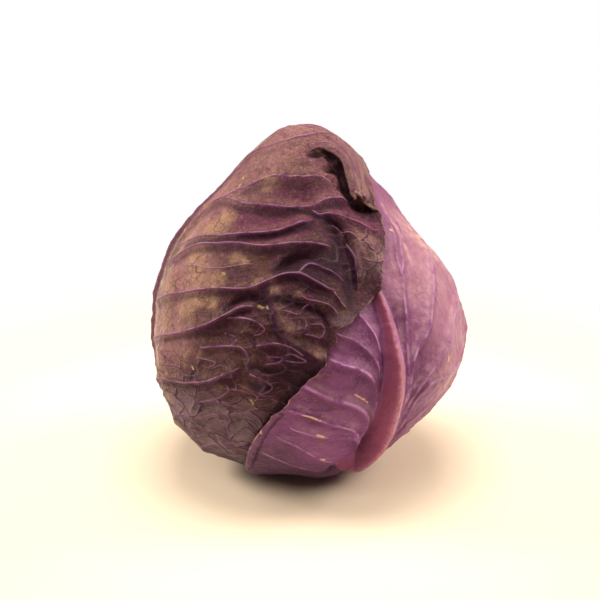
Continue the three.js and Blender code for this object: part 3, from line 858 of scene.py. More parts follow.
def strip_sheet(left, right, columns, rows, radius, thickness):
    """A closed narrow sheet between two lines; radius(u, v, d) is its outer face."""
    u, v = (a.ravel() for a in np.meshgrid(np.linspace(0, 1, columns + 1), np.linspace(0, 1, rows + 1)))
    sides = []
    for line in (left, right):
        at = v * (len(line) - 1)
        sides.append(np.stack([np.interp(at, np.arange(len(line)), line[:, k]) for k in range(3)], -1))
    d = unit(sides[1] * (1 - u)[:, None] + sides[0] * u[:, None])
    outer = radius(u, v, d)
    points = np.concatenate([place(d, outer), place(d, outer - thickness)])
    quads = grid_quads(columns, rows)
    rim = grid_rim(columns, rows)
    half = len(u)
    walls = np.stack([rim, half + rim, half + np.roll(rim, -1), np.roll(rim, -1)], -1)
    return points, [quads, half + quads[:, ::-1], walls], u, v, d


def joined(sheets):
    """Several sheets as one set of points, faces and values."""
    points, faces, values, start = [], [], {}, 0
    for sheet_points, sheet_faces, sheet_values in sheets:
        points.append(sheet_points)
        faces += [start + f for f in sheet_faces]
        for key, value in sheet_values.items():
            values.setdefault(key, []).append(value)
        start += len(sheet_points)
    return np.concatenate(points), faces, {k: np.concatenate(v) for k, v in values.items()}


# Spacing of the points of a line that has to be smooth
FINE = 0.5

# The flap's sides from the crown to its torn end
FLAP_LEFT = [
    (-108, 8), (-84, 9), (-64, 8.5), (-52, 9.5), (-46, 12), (-46, 15), (-48, 18.5), (-50, 22), (-52, 26),
]
FLAP_RIGHT = [(120, 3), (60, 5), (30, 9), (12, 13), (0, 17), (-10, 22), (-23, 27), (-33, 32)]
FLAP_THICKNESS = 0.8
FLAP_CELLS = (46, 72)

# Its heights over the leaf: of its root, which lies inside the leaf, its rise from there and its lift
# further out, how far its left edge rolls back, its creases, and its ripples at the root and what is
# added to them further out
FLAP_ROOT = -1.4
FLAP_RISE = 1.6
FLAP_LIFT = 4.4
FLAP_ROLL = 1.8
FLAP_CREASE = 0.5
FLAP_RIPPLE = (0.1, 0.25)

# Its torn end, in rows for ripples(), and the line that its tears run along
FLAP_TEAR = [(1.1, 5, 92), (0.6, 2.2, 93)]
TORN_ALONG = ((-10, 5), (-35, 40))

# Its faint veins: where each starts across it, and how far it slants, and their half width, all as
# shares of its own width; and how strongly its net is coloured
FLAP_VEINS = ((0.2, 0.1), (0.42, 0.2), (0.55, 0.35), (1.0, -0.45))
FLAP_VEIN_HALF = 0.05
FLAP_NET = 0.3


def quicker(cells):
    return cells


def crown_flap(leaf, like):
    """The folded tip of leaf_1: it comes out of the crown, stands off along its left side, and ends torn."""
    left, right = even(curve(FLAP_LEFT), FINE), even(curve(FLAP_RIGHT), FINE)

    def radius(u, v, d):
        root = inner_radius(leaf, d, uneven) + THICKNESS
        out = smoothstep(v, 0.3, 0.7)
        left_edge = smoothstep(u, 0.1, 0.9)
        rise = FLAP_RISE * smoothstep(v, 0.05, 0.4)
        stand = FLAP_ROOT + rise + FLAP_LIFT * out * (0.1 + 0.9 * left_edge)
        roll = FLAP_ROLL * smoothstep(u, 0.86, 1) ** 2 * smoothstep(v, 0.2, 0.4)
        creases = FLAP_CREASE * np.abs(np.sin(7 * u + 2.5 * v)) * out
        small = (FLAP_RIPPLE[0] + FLAP_RIPPLE[1] * out) * ripple(d, 8, 91)
        return root + stand - roll + creases + small

    points, faces, u, v, d = strip_sheet(left, right, *quicker(FLAP_CELLS), radius, FLAP_THICKNESS)
    torn = smoothstep(v, 0.82, 1) * ripples(d, FLAP_TEAR)
    start, end = aim(TORN_ALONG)
    points += np.tile(torn[:, None] * unit(end - start), (2, 1))
    values = {key: np.zeros(2 * len(u)) for key in like}
    values["strength"] += FLAP_NET
    lines = np.stack([u - at - slant * v for at, slant in FLAP_VEINS])
    nearest = np.take_along_axis(lines, np.abs(lines).argmin(axis=0)[None], axis=0)[0]
    values["vein"] = np.tile(np.exp(-((nearest / FLAP_VEIN_HALF) ** 2)), 2)
    values["vein_side"] = np.tile(2 * nearest / FLAP_VEIN_HALF, 2)
    values["inside"] = np.tile(12 * np.minimum(1 - v, 0.08 + 6 * (1 - u) * smoothstep(v, 0.5, 0.8)), 2)
    values["flap"] = np.ones(2 * len(u))
    return points, faces, values


# The hem's outer edge and the fold that it leaves the blade at
HEM_EDGE = [
    (-99, 101.5), (-103.5, 106.5), (-107.5, 111.5), (-111.5, 118), (-115, 125), (-117.5, 131), (-120, 136),
]
HEM_FOLD = [
    (-98, 102.5), (-101, 106.5), (-104.5, 111.5), (-107.5, 117), (-110.5, 123), (-114, 129.5),
    (-119, 135.5),
]
HEM_THICKNESS = 0.7
HEM_CELLS = (14, 120)

# How far it stands off the leaf, how much more at its outer edge and what the fold adds, and its waves
HEM_OFF = 0.2
HEM_RISE = (0.1, 0.9)
HEM_WAVES = [(0.2, 6, 96)]


def hem(leaf, like):
    """The lower left margin of leaf_2, turned back on itself as a narrow hem."""
    left, right = even(curve(HEM_EDGE), FINE), even(curve(HEM_FOLD), FINE)

    def radius(u, v, d):
        inside = np.maximum(-leaf.outside(d), 0)
        under = blade(leaf, d, inside)["outer"]
        rise = (HEM_RISE[0] + HEM_RISE[1] * (1 - u)) * smoothstep(v, 0, 0.35)
        return under + HEM_OFF + rise + ripples(d, HEM_WAVES)

    points, faces, u, v, _ = strip_sheet(left, right, *quicker(HEM_CELLS), radius, HEM_THICKNESS)
    values = {key: np.zeros(2 * len(u)) for key in like}
    values["inside"] = np.tile(4 * (1 - u), 2)
    # Painted shade along the hem's fold side, where it turns back from the blade
    values["lower"] = np.tile(1 - smoothstep(u, 0.0, 0.3), 2)
    values["hem"] = np.ones(2 * len(u))
    return points, faces, values


# ---- Where each leaf's skin changes colour ----

TONE_NAMES = ("tan", "olive", "painted_shade_and_dark", "mauve", "cream_highlight", "lit_and_worn", "ashen_and_shade", "scar")

# Patches of a colour, by leaf and tone: azimuth, polar, size, amount
TONES = {
    # Dried tan on leaf_1's bulges, with painted sheen where they face the left lamp
    ("leaf_1", "tan"): [
        (-140, 36.5, 5, 1), (-146, 43, 6, 1.1), (-123, 21, 5, 0.8), (-106, 12, 8, 0.5), (-146, 54, 7, 1),
        (-125, 48.5, 4, 0.9), (-119, 49.5, 3, 0.7), (-142, 60, 6, 0.8), (-130, 58, 6, 0.9),
        (-136, 67, 5, 1), (-129, 66.5, 4, 0.9), (-143, 72, 6, 0.8), (-136, 74, 4, 0.6), (-156, 68, 8, 0.8),
        (-154, 80, 7, 0.7), (-140, 89, 5, 0.7), (-153, 95, 8, 0.7), (-152, 106, 8, 0.6), (-131, 86, 3, 0.5),
        (-122, 96, 3, 0.6), (-88, 29, 4, 0.5), (-100, 40, 5, 0.4), (-54, 42, 8, 0.25), (-56, 53, 6, 0.3),
        (-93, 60, 3, 0.8), (-112, 58, 4, 0.4), (-160, 118, 9, 0.5), (-128, 122, 9, 0.35),
        (-166, 92, 10, 0.6),
    ],
    ("leaf_1", "olive"): [
        (-170, 39, 7, 0.6), (-131, 39, 4, 0.7), (-119, 44, 6, 0.9), (-112, 48, 6, 0.9), (-111, 53, 5, 0.7),
        (-130, 89, 6, 0.9), (-125, 83, 5, 0.9), (-116, 83, 6, 0.8), (-115, 96, 6, 0.7), (-108, 92, 6, 0.7),
        (-104, 67, 7, 0.7), (-100, 76, 6, 0.6), (-76, 44, 6, 0.6), (-88, 46, 6, 0.5), (-142, 86, 6, 0.6),
        (-110, 102, 8, 0.5), (-56, 48, 9, 0.3),
    ],
    # Painted shade in leaf_1's hollows and beside the crossing under leaf_2's edge; the last five are dark
    # patches on the back
    ("leaf_1", "painted_shade_and_dark"): [
        (-95, 49, 6, 0.4), (-106, 60, 4, 0.4), (-92, 42, 5, 0.3), (-80, 47, 6, 0.5), (-98, 90, 9, 0.5),
        (-104, 98, 6, 0.5), (-90, 76, 8, 0.5), (-134, 138, 4.5, 1.1), (-82, 78, 4, 0.5), (-95, 48, 12, 0.3),
        (-84, 58, 12, 0.4), (-112, 67, 6, 0.3), (-93, 84, 9, 0.8), (-80, 34, 6, 0.3), (-77, 46, 9, 0.4),
        (-104, 78, 9, 0.45), (-84, 50, 9, 0.5), (-98, 66, 10, 0.4), (-72, 62, 6, 0.5), (-118, 100, 9, 0.4),
        (150, 74, 6, 0.6), (168, 104, 7, 0.6), (140, 120, 7, 0.5), (160, 38, 6, 0.5), (172, 132, 8, 0.5),
    ],
    ("leaf_1", "mauve"): [
        (-129, 34, 6, 0.9), (-130, 41, 6, 0.8), (-116, 38, 7, 0.8), (-112, 31, 9, 0.7), (-94, 36, 7, 0.8),
        (-100, 20, 9, 0.6), (-76, 22, 8, 0.6), (-154, 64, 4, 0.7), (-150, 75, 3, 0.5), (-70, 28, 6, 0.6),
        (-84, 53, 6, 0.6), (-96, 84, 9, 0.6), (-150, 125, 18, 0.6), (-165, 105, 9, 0.5), (-110, 40, 5, 0.6),
    ],
    # Painted light on the left side, the crown and the right margin, where leaf_1 faces the lamps; the
    # patches at positive azimuths are uneven tone on the back
    ("leaf_1", "lit_and_worn"): [
        (-150, 58, 20, 1), (-158, 88, 20, 1), (-110, 6, 22, 0.9), (-168, 36, 16, 0.9), (-54, 46, 10, 0.8),
        (-150, 32, 12, 0.5), (-140, 84, 10, 0.5), (-30, 12, 16, 0.6), (150, 60, 18, 0.7),
        (165, 120, 16, 0.7), (138, 88, 10, 0.6), (60, 12, 12, 0.5),
    ],
    ("leaf_1", "ashen_and_shade"): [
        (-124, 116, 20, 1), (-148, 112, 16, 0.7), (-136, 128, 14, 0.6), (-112, 104, 8, 0.4),
        (150, 140, 16, 0.9), (170, 85, 12, 0.6), (-175, 140, 14, 0.7), (-55, 50, 11, 0.6),
        (-74, 70, 8, 0.5),
    ],
    # Painted highlight along leaf_1's lit left rim and the crown's skyline
    ("leaf_1", "cream_highlight"): [
        (-162, 49, 4, 0.8), (-163, 55, 4, 0.8), (-165, 63, 4, 0.9), (-166, 70, 4, 0.9), (-167, 79, 4, 0.8),
        (-166, 86, 5, 0.6), (-150, 16, 6, 0.4), (168, 22, 4, 0.7), (164, 15, 4, 0.6), (-164, 42, 4, 0.5),
    ],
    # Painted highlights on the right of leaf_2, where its blade faces the right lamp
    ("leaf_2", "cream_highlight"): [
        (-3, 45, 14, 0.7), (4, 56, 12, 0.7), (10, 66, 12, 0.6), (-22, 62, 12, 0.35), (-38, 66, 9, 0.3),
        (2, 78, 10, 0.5), (-30, 98, 10, 0.3), (-20, 106, 10, 0.35),
    ],
    # Painted shade in the dent beside the heel of leaf_2's midrib
    ("leaf_2", "painted_shade_and_dark"): [
        (-71, 137, 6, 1.2), (-66, 122, 3, 0.5), (-63.5, 112, 3, 0.4), (-68, 130, 4, 1), (-76, 141, 4, 0.8),
    ],
    ("leaf_2", "mauve"): [
        (-90, 95.5, 4, 1), (-86, 88.5, 6, 0.9), (-76.5, 74.5, 6, 0.8), (-35, 94, 4, 0.7),
        (-40, 110, 4, 0.7), (-88, 106, 4, 0.6), (-74, 93, 6, 0.4), (-52, 70, 5, 0.6), (-22, 84, 6, 0.5),
        (-16, 100, 6, 0.5),
    ],
    # Painted light on the right of leaf_2, which faces the right lamp
    ("leaf_2", "lit_and_worn"): [
        (-20, 72, 28, 0.9), (-18, 106, 24, 1), (-2, 46, 24, 0.8), (-33, 126, 10, 0.5), (-42, 57, 14, 0.5),
    ],
    # Painted shade on the lower left of leaf_2, towards the bottom
    ("leaf_2", "ashen_and_shade"): [(-104, 124, 14, 1), (-90, 142, 14, 1), (-112, 140, 12, 0.7)],
}

# Lines of a colour, by leaf and tone: path, half width, amount
STROKES = {
    # Painted sheen along the lit sides of ridges, over dried tan
    ("leaf_1", "tan"): [
        ([(-104.5, 57), (-101.5, 63), (-98, 69), (-94.5, 74), (-89, 78), (-85, 80)], 1.6, 0.6),
        ([(-96, 62.5), (-92, 66), (-89, 70)], 1.4, 0.35),
        ([(-58, 34.5), (-58, 39.5), (-62, 42.5)], 1.2, 0.4),
        ([(-60.5, 33), (-57.5, 37), (-57, 41.5), (-59.5, 45.5)], 1.2, 0.35),
        ([(-116, 75), (-111, 73), (-106, 75)], 1.4, 0.35),
        ([(-112, 56), (-106, 53.5), (-100, 50.5)], 1.6, 0.4),
        ([(-76, 61), (-75, 66), (-77, 70)], 1.4, 0.35),
    ],
    # Painted shade in leaf_1's creases and grooves and in the pocket under the flap, and the painted shadow
    # that leaf_2's left edge casts on it
    ("leaf_1", "painted_shade_and_dark"): [
        ([(-103, 51.5), (-98.5, 47.5), (-91, 45.5), (-85, 46.8)], 2.4, 1.1),
        ([(-122, 67.5), (-117, 63), (-112, 61.5), (-105, 62.5)], 2.2, 1.1),
        ([(-98, 53.2), (-93, 54), (-88, 56), (-83, 57)], 1.5, 1),
        ([(-76, 31.5), (-72, 38.5), (-70.5, 44.5), (-71, 50.5), (-71, 57)], 3, 0.8),
        ([(-82, 30.5), (-74.5, 31.5), (-68, 33.5), (-65.8, 37), (-66, 45), (-66.5, 53), (-68, 58)],
         1.2, 1.3),
        ([(-88, 64.5), (-83.5, 67), (-82, 70)], 1.3, 1.1),
        ([(-101, 61.3), (-96, 62), (-91, 63.5)], 2, 0.9),
        ([(-108, 21.5), (-101, 22.5), (-92, 23), (-84, 24)], 2, 0.45),
        ([(-102, 28), (-91.5, 29), (-82, 30)], 1.4, 0.9),
        ([(-127, 41.5), (-119, 39.8), (-108, 38), (-97, 35.6), (-87, 33.6)], 2, 0.9),
        ([(-111, 86.3), (-107, 86.3), (-103, 87), (-97, 88)], 1.1, 1),
        ([(-83.5, 83.5), (-87.5, 86), (-91.5, 90), (-95, 94.5), (-99, 100), (-103, 106), (-107, 112)],
         1.6, 1.2),
        ([(-135, 95.5), (-133.5, 92.5)], 1.4, 1),
        ([(-110, 92), (-107, 93), (-103, 93)], 2, 0.8),
        ([(-70, 11.5), (-56, 13), (-51, 17), (-53, 22), (-54, 27), (-47, 31), (-38, 34)], 3, 0.75),
        ([(-84, 10.5), (-68, 10), (-57, 10.5)], 1.7, 1),
        ([(-66, 16), (-57, 16), (-47, 17)], 1.3, 0.8),
        ([(-52, 11), (-44.5, 13), (-43, 17), (-46, 21), (-47, 25), (-41, 28.5), (-32, 31)], 2.4, 1.3),
        ([(-108, 58), (-105.5, 64), (-102.5, 70), (-98.5, 75.5), (-92, 80), (-87, 82)], 1.2, 0.8),
    ],
    ("leaf_1", "mauve"): [
        ([(-113, 20), (-101, 20), (-89, 21), (-78, 22.8)], 4.5, 1.2),
        ([(-95, 12.5), (-68, 13.5), (-58, 17), (-58, 22), (-61, 28), (-54, 34), (-44, 38)], 4.6, 1.3),
        ([(-112, 31), (-98, 30.5), (-84, 31)], 3.5, 1.2),
        ([(-128, 41), (-112, 38.5), (-98, 36.5)], 3, 0.9),
        ([(-128, 33), (-112, 33), (-96, 33)], 2.5, 0.7),
    ],
    # Painted highlight along the left rim and the crown's skyline
    ("leaf_1", "cream_highlight"): [
        ([(-178, 50), (-174, 60), (-170, 70), (-168, 80), (-167, 90)], 1.8, 0.9),
        ([(-172, 92), (-168, 102), (-165, 112), (-160, 122), (-152, 133)], 2.4, 0.8),
        ([(168, 12), (165, 22), (165, 30), (164, 40)], 2.2, 0.9),
    ],
    # Painted sheen along the fold's ridge
    ("leaf_1", "lit_and_worn"): [
        ([(-103.5, 56), (-100.5, 62), (-97, 68), (-93.5, 73), (-88, 77), (-84, 79.5)], 2.6, 0.65),
    ],
    ("leaf_1", "scar"): [
        ([(-179, 37), (178, 39)], 1.3, 1.3), ([(-127.9, 55.4), (-127, 55.6)], 0.9, 1.3),
        ([(-109, 64.3), (-107, 65)], 0.8, 1.3), ([(-105.4, 64.2), (-104.8, 65)], 0.8, 1.3),
        ([(-110, 98.8), (-109, 100.4)], 0.8, 1.3), ([(-134.4, 91), (-133.8, 92)], 0.8, 1.3),
        ([(-152, 22.6), (-151, 23.4)], 0.8, 1.3), ([(-149, 25), (-148, 26)], 0.8, 1.3),
    ],
    # Painted shade in the crease where the hem folds back, and in the groove on the left of the midrib
    ("leaf_2", "painted_shade_and_dark"): [
        (HEM_FOLD, 0.8, 1.2),
        ([(-61, 84), (-62.5, 95), (-63, 105), (-65, 116), (-68, 127), (-74, 136)], 1.6, 0.5),
        ([(-64, 112), (-66, 119), (-69, 126), (-73, 132), (-79, 138)], 1.6, 0.9),
    ],
    ("leaf_2", "mauve"): [
        ([(-64, 119), (-69, 127), (-76, 134)], 4.5, 0.9),
        ([(-92, 93.5), (-87, 96), (-82, 98.5)], 2.4, 1.3),
        ([(-93, 103.5), (-87, 105), (-80, 108)], 2, 0.8),
        ([(-97, 112), (-88, 114.5), (-80, 116)], 1.8, 0.6),
        ([(-85, 86.5), (-78, 86), (-72, 89), (-67, 93.5)], 2, 0.8),
        ([(-80, 77), (-73, 79), (-68, 83)], 2.2, 0.9),
    ],
    # Painted highlights beside the veins on the right of leaf_2
    ("leaf_2", "cream_highlight"): [
        ([(-30, 55), (-25, 47), (-20, 39), (-14, 31)], 1.5, 0.7),
        ([(-9, 60), (-2, 52), (4, 43)], 1.8, 0.7),
    ],
    ("leaf_2", "scar"): [
        ([(-73.5, 94.4), (-71, 96.4), (-68.5, 98.4)], 0.6, 1.2),
        ([(-85.5, 111.4), (-83.2, 112.2)], 0.9, 1.3), ([(-83.2, 124.6), (-81.8, 125.4)], 0.9, 1.3),
        ([(-91, 102), (-88, 102.6), (-85, 103.8)], 0.8, 1.3), ([(-107, 109), (-106, 110.4)], 0.8, 1.3),
        ([(-28.3, 92.6), (-27.8, 94.4)], 0.8, 1.3), ([(-29.7, 39.6), (-29.3, 40.4)], 0.8, 1.3),
        ([(6, 45.6), (5, 48.4)], 0.9, 1.3),
    ],
}


def strokes(d, lines):
    """How strongly lines of colour show: 1 along a line and fading out over its half width."""
    total = np.zeros(len(d))
    for points, width, amount in lines:
        path = even(curve(points), FINE)
        at = close_to(d, path, 4 * width)
        total[at] += amount * np.exp(-((beside(d[at], path)[2] / width) ** 2))
    return total


# What lies on a leaf besides its blade, and the value that tells them apart
EXTRAS = {"leaf_1": ("flap", crown_flap), "leaf_2": ("hem", hem)}


def build_leaf(leaf):
    sheet = leaf_sheet(leaf)
    sheets = [sheet]
    if leaf.name in EXTRAS:
        mark, extra = EXTRAS[leaf.name]
        sheets.append(extra(leaf, sheet[2]))
        sheet[2][mark] = np.zeros(len(sheet[0]))
    points, faces, values = joined(sheets)
    d = unit(points - CENTRE)
    for tone in TONE_NAMES:
        key = (leaf.name, tone)
        values[tone] = spots(d, TONES.get(key, [])) + strokes(d, STROKES.get(key, []))
    return mesh_object(leaf.name + "_blade", points, faces, values)


def closed_rings(name, points, columns):
    """A closed skin over rings of points, which a point closes at each end: the last two points."""
    ends = len(points) - 2
    at = np.arange(ends).reshape(-1, columns)
    right = np.roll(at, -1, axis=1)
    quads = np.stack([at[:-1], at[1:], right[1:], right[:-1]], -1).reshape(-1, 4)
    first = np.stack([np.full(columns, ends), at[0], right[0]], -1)
    last = np.stack([np.full(columns, ends + 1), right[-1], at[-1]], -1)
    return mesh_object(name, points, [quads, first, last], {})


HEART_CELLS = (180, 120)
HEART_SEAT = 8.8
HEART_WAVES = [(0.25, 18, 95)]


def build_heart():
    """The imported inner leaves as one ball, a little uneven, flat where it sits on the stem."""
    columns, rows = quicker(HEART_CELLS)
    azimuth = np.linspace(-180, 180, columns, endpoint=False)
    polar = np.linspace(0, 180, rows + 1)[1:-1]
    d = aim([(a, p) for p in polar for a in azimuth] + [(0, 0), (0, 180)])
    down = np.maximum(-d[:, 2], 1e-6)
    radius = np.minimum(heart_radius(d) + ripples(d, HEART_WAVES), (CENTRE[2] - HEART_SEAT) / down)
    return closed_rings("heart_leaves", CENTRE + d * radius[:, None], columns)


STEM_RADIUS = 16
STEM_TOP = 8
FACE_DISH = 0.5
BARK_FROM = 14
STEM_COLUMNS = 96

# The stump from near the middle of its cut face out to its bark and up: radius, height
STEM_RINGS = [
    (3, 0.45), (6, 0.35), (9, 0.2), (11.5, 0.12), (13.2, 0.25), (14.6, 0.05), (15.4, 0.0), (15.9, 0.4),
    (STEM_RADIUS, 1.2), (15.8, 3), (15.9, 5), (15.6, 7), (15.1, STEM_TOP),
]


def build_stem():
    """A stump cut across with a knife: a slightly dished face, a ring of fibres and a rough bark."""
    # Clockwise, because the rings go up, so that the faces point out
    angle = np.linspace(2 * np.pi, 0, STEM_COLUMNS, endpoint=False)
    points = []
    for radius, height in STEM_RINGS:
        rough = (0.012 * np.sin(3 * angle + 1) + 0.008 * np.sin(7 * angle + height)) * (radius > BARK_FROM)
        across = np.minimum(radius * (1 + rough), STEM_RADIUS)
        level = np.full(STEM_COLUMNS, height)
        points.append(np.stack([across * np.cos(angle), across * np.sin(angle), level], -1))
    points = np.concatenate([*points, [[0, 0, FACE_DISH], [0, 0, STEM_TOP]]])
    return closed_rings("stem_stump", points, STEM_COLUMNS)


# ---- Finishes ----


def colour(code):
    """Linear colour of an sRGB hex code."""
    channels = [int(code[k:k + 2], 16) / 255 for k in (1, 3, 5)]
    linear = [c / 12.92 if c <= 0.04045 else ((c + 0.055) / 1.055) ** 2.4 for c in channels]
    return (*linear, 1.0)


def add(tree, kind, settings, inputs):
    """Adds a node with its settings; an input takes a value or another node's output. Gives its outputs."""
    made = tree.nodes.new("ShaderNode" + kind)
    for key, value in settings.items():
        setattr(made, key, value)
    for key, value in inputs.items():
        if isinstance(value, bpy.types.NodeSocket):
            tree.links.new(value, made.inputs[key])
        else:
            made.inputs[key].default_value = value
    return made.outputs


def blank(name):
    material = bpy.data.materials.new(name)
    material.use_nodes = True
    material.node_tree.nodes.clear()
    return material, material.node_tree


def patches(tree, size, low, high, most=1.0, detail=3.0, rough=0.55, pushed=0.0):
    """Cloudy patches of a size in millimetres: 0 between them and most in them, fuller where pushed."""
    where = add(tree, "TexCoord", {}, {})["Object"]
    grown = {"Vector": where, "Scale": 1 / (size * MM), "Detail": detail, "Roughness": rough}
    cloud = add(tree, "TexNoise", {}, grown)
    raised = add(tree, "Math", {"operation": "ADD"}, {0: cloud["Fac"], 1: pushed})[0]
    inputs = {"Value": raised, "From Min": low, "From Max": high, "To Max": most}
    return add(tree, "MapRange", {"interpolation_type": "SMOOTHSTEP"}, inputs)[0]


def streaks(tree, size, low, high, most=1.0):
    """Upright streaks of a width in millimetres, eight times as long."""
    where = add(tree, "TexCoord", {}, {})["Object"]
    drawn_out = add(tree, "VectorMath", {"operation": "MULTIPLY"}, {0: where, 1: (1, 1, 0.125)})[0]
    cloud = add(tree, "TexNoise", {}, {"Vector": drawn_out, "Scale": 1 / (size * MM), "Detail": 3.0})
    inputs = {"Value": cloud["Fac"], "From Min": low, "From Max": high, "To Max": most}
    return add(tree, "MapRange", {"interpolation_type": "SMOOTHSTEP"}, inputs)[0]


def marked(tree, name, low=0.0, high=1.0, first=0.0, last=1.0):
    """A value kept on the mesh, read from first at its low mark to last at its high one."""
    value = add(tree, "Attribute", {"attribute_name": name}, {})["Fac"]
    inputs = {"Value": value, "From Min": low, "From Max": high, "To Min": first, "To Max": last}
    return add(tree, "MapRange", {"interpolation_type": "SMOOTHSTEP"}, inputs)[0]


def product(tree, *amounts):
    """Amounts multiplied: each is a number, a node's output, or the name of a value kept on the mesh."""
    whole, *others = [marked(tree, amount) if isinstance(amount, str) else amount for amount in amounts]
    for amount in others:
        whole = add(tree, "Math", {"operation": "MULTIPLY"}, {0: whole, 1: amount})[0]
    return whole


def drawn(tree, name, half_width):
    """A crisp line along a vein or net, from its signed distance, where it is near."""
    side = add(tree, "Attribute", {"attribute_name": name + "_side"}, {})["Fac"]
    off = add(tree, "Math", {"operation": "ABSOLUTE"}, {0: side})[0]
    inputs = {
        "Value": off, "From Min": 0.35 * half_width, "From Max": half_width, "To Min": 1.0, "To Max": 0.0,
    }
    return product(tree, add(tree, "MapRange", {}, inputs)[0], marked(tree, name, 0.15, 0.45))


def cracks(tree, size, bend, width):
    """Thin wandering lines round cells of a size, all in millimetres: 1 on a line."""
    where = add(tree, "TexCoord", {}, {})["Object"]
    drift = add(tree, "TexNoise", {}, {"Vector": where, "Scale": 0.6 / (size * MM)})["Color"]
    reach = (bend * MM, bend * MM, bend * MM)
    bent = add(tree, "VectorMath", {"operation": "MULTIPLY_ADD"}, {0: drift, 1: reach, 2: where})[0]
    cells = {"Vector": bent, "Scale": 1 / (size * MM)}
    gap = add(tree, "TexVoronoi", {"feature": "DISTANCE_TO_EDGE"}, cells)["Distance"]
    inputs = {"Value": gap, "From Max": width / size, "To Min": 1.0, "To Max": 0.0}
    return add(tree, "MapRange", {}, inputs)[0]


def coats(tree, base, layers):
    """Colours laid over one another, each by the product of its amounts. A colour is a code or an output."""
    below = colour(base)
    for coat, *amounts in layers:
        above = colour(coat) if isinstance(coat, str) else coat
        inputs = {0: product(tree, *amounts), 6: below, 7: above}
        below = add(tree, "Mix", {"data_type": "RGBA"}, inputs)[2]
    return below


LEAF_IOR = 1.45


def skin(tree, base, bumps, roughness, gloss=0.25):
    """Closes a material with its bumps (height, depth in mm, strength) one on another, and the shader."""
    normal = {}
    for height, depth, strength in bumps:
        inputs = {"Height": height, "Distance": depth * MM, "Strength": strength, **normal}
        normal = {"Normal": add(tree, "Bump", {}, inputs)["Normal"]}
    inputs = {
        "Base Color": base, "Roughness": roughness, "IOR": LEAF_IOR, "Specular IOR Level": gloss, **normal,
    }
    shader = add(tree, "BsdfPrincipled", {}, inputs)[0]
    add(tree, "OutputMaterial", {}, {"Surface": shader})


# Sizes of a leaf's patterns in millimetres. Its blisters are the cells between its small veins. The
# grain of its skin is 0.2 to 0.3 mm and the dead specks on a dried one about 0.5 mm. Both are too fine
# to show, so they are drawn three or four times as coarse. Hair veins are 0.1 mm and are drawn thicker.
BLISTERS = 6
GRAIN_DRIED = 0.9
GRAIN_WAXY = 0.8
SPECKS = 1.7
PALE_SPECKS = 1.9
HAIR_CELLS = 4.2
HAIR_WIDTH = 0.3
VEIN_HALF = 0.95
NET_HALF = 0.62


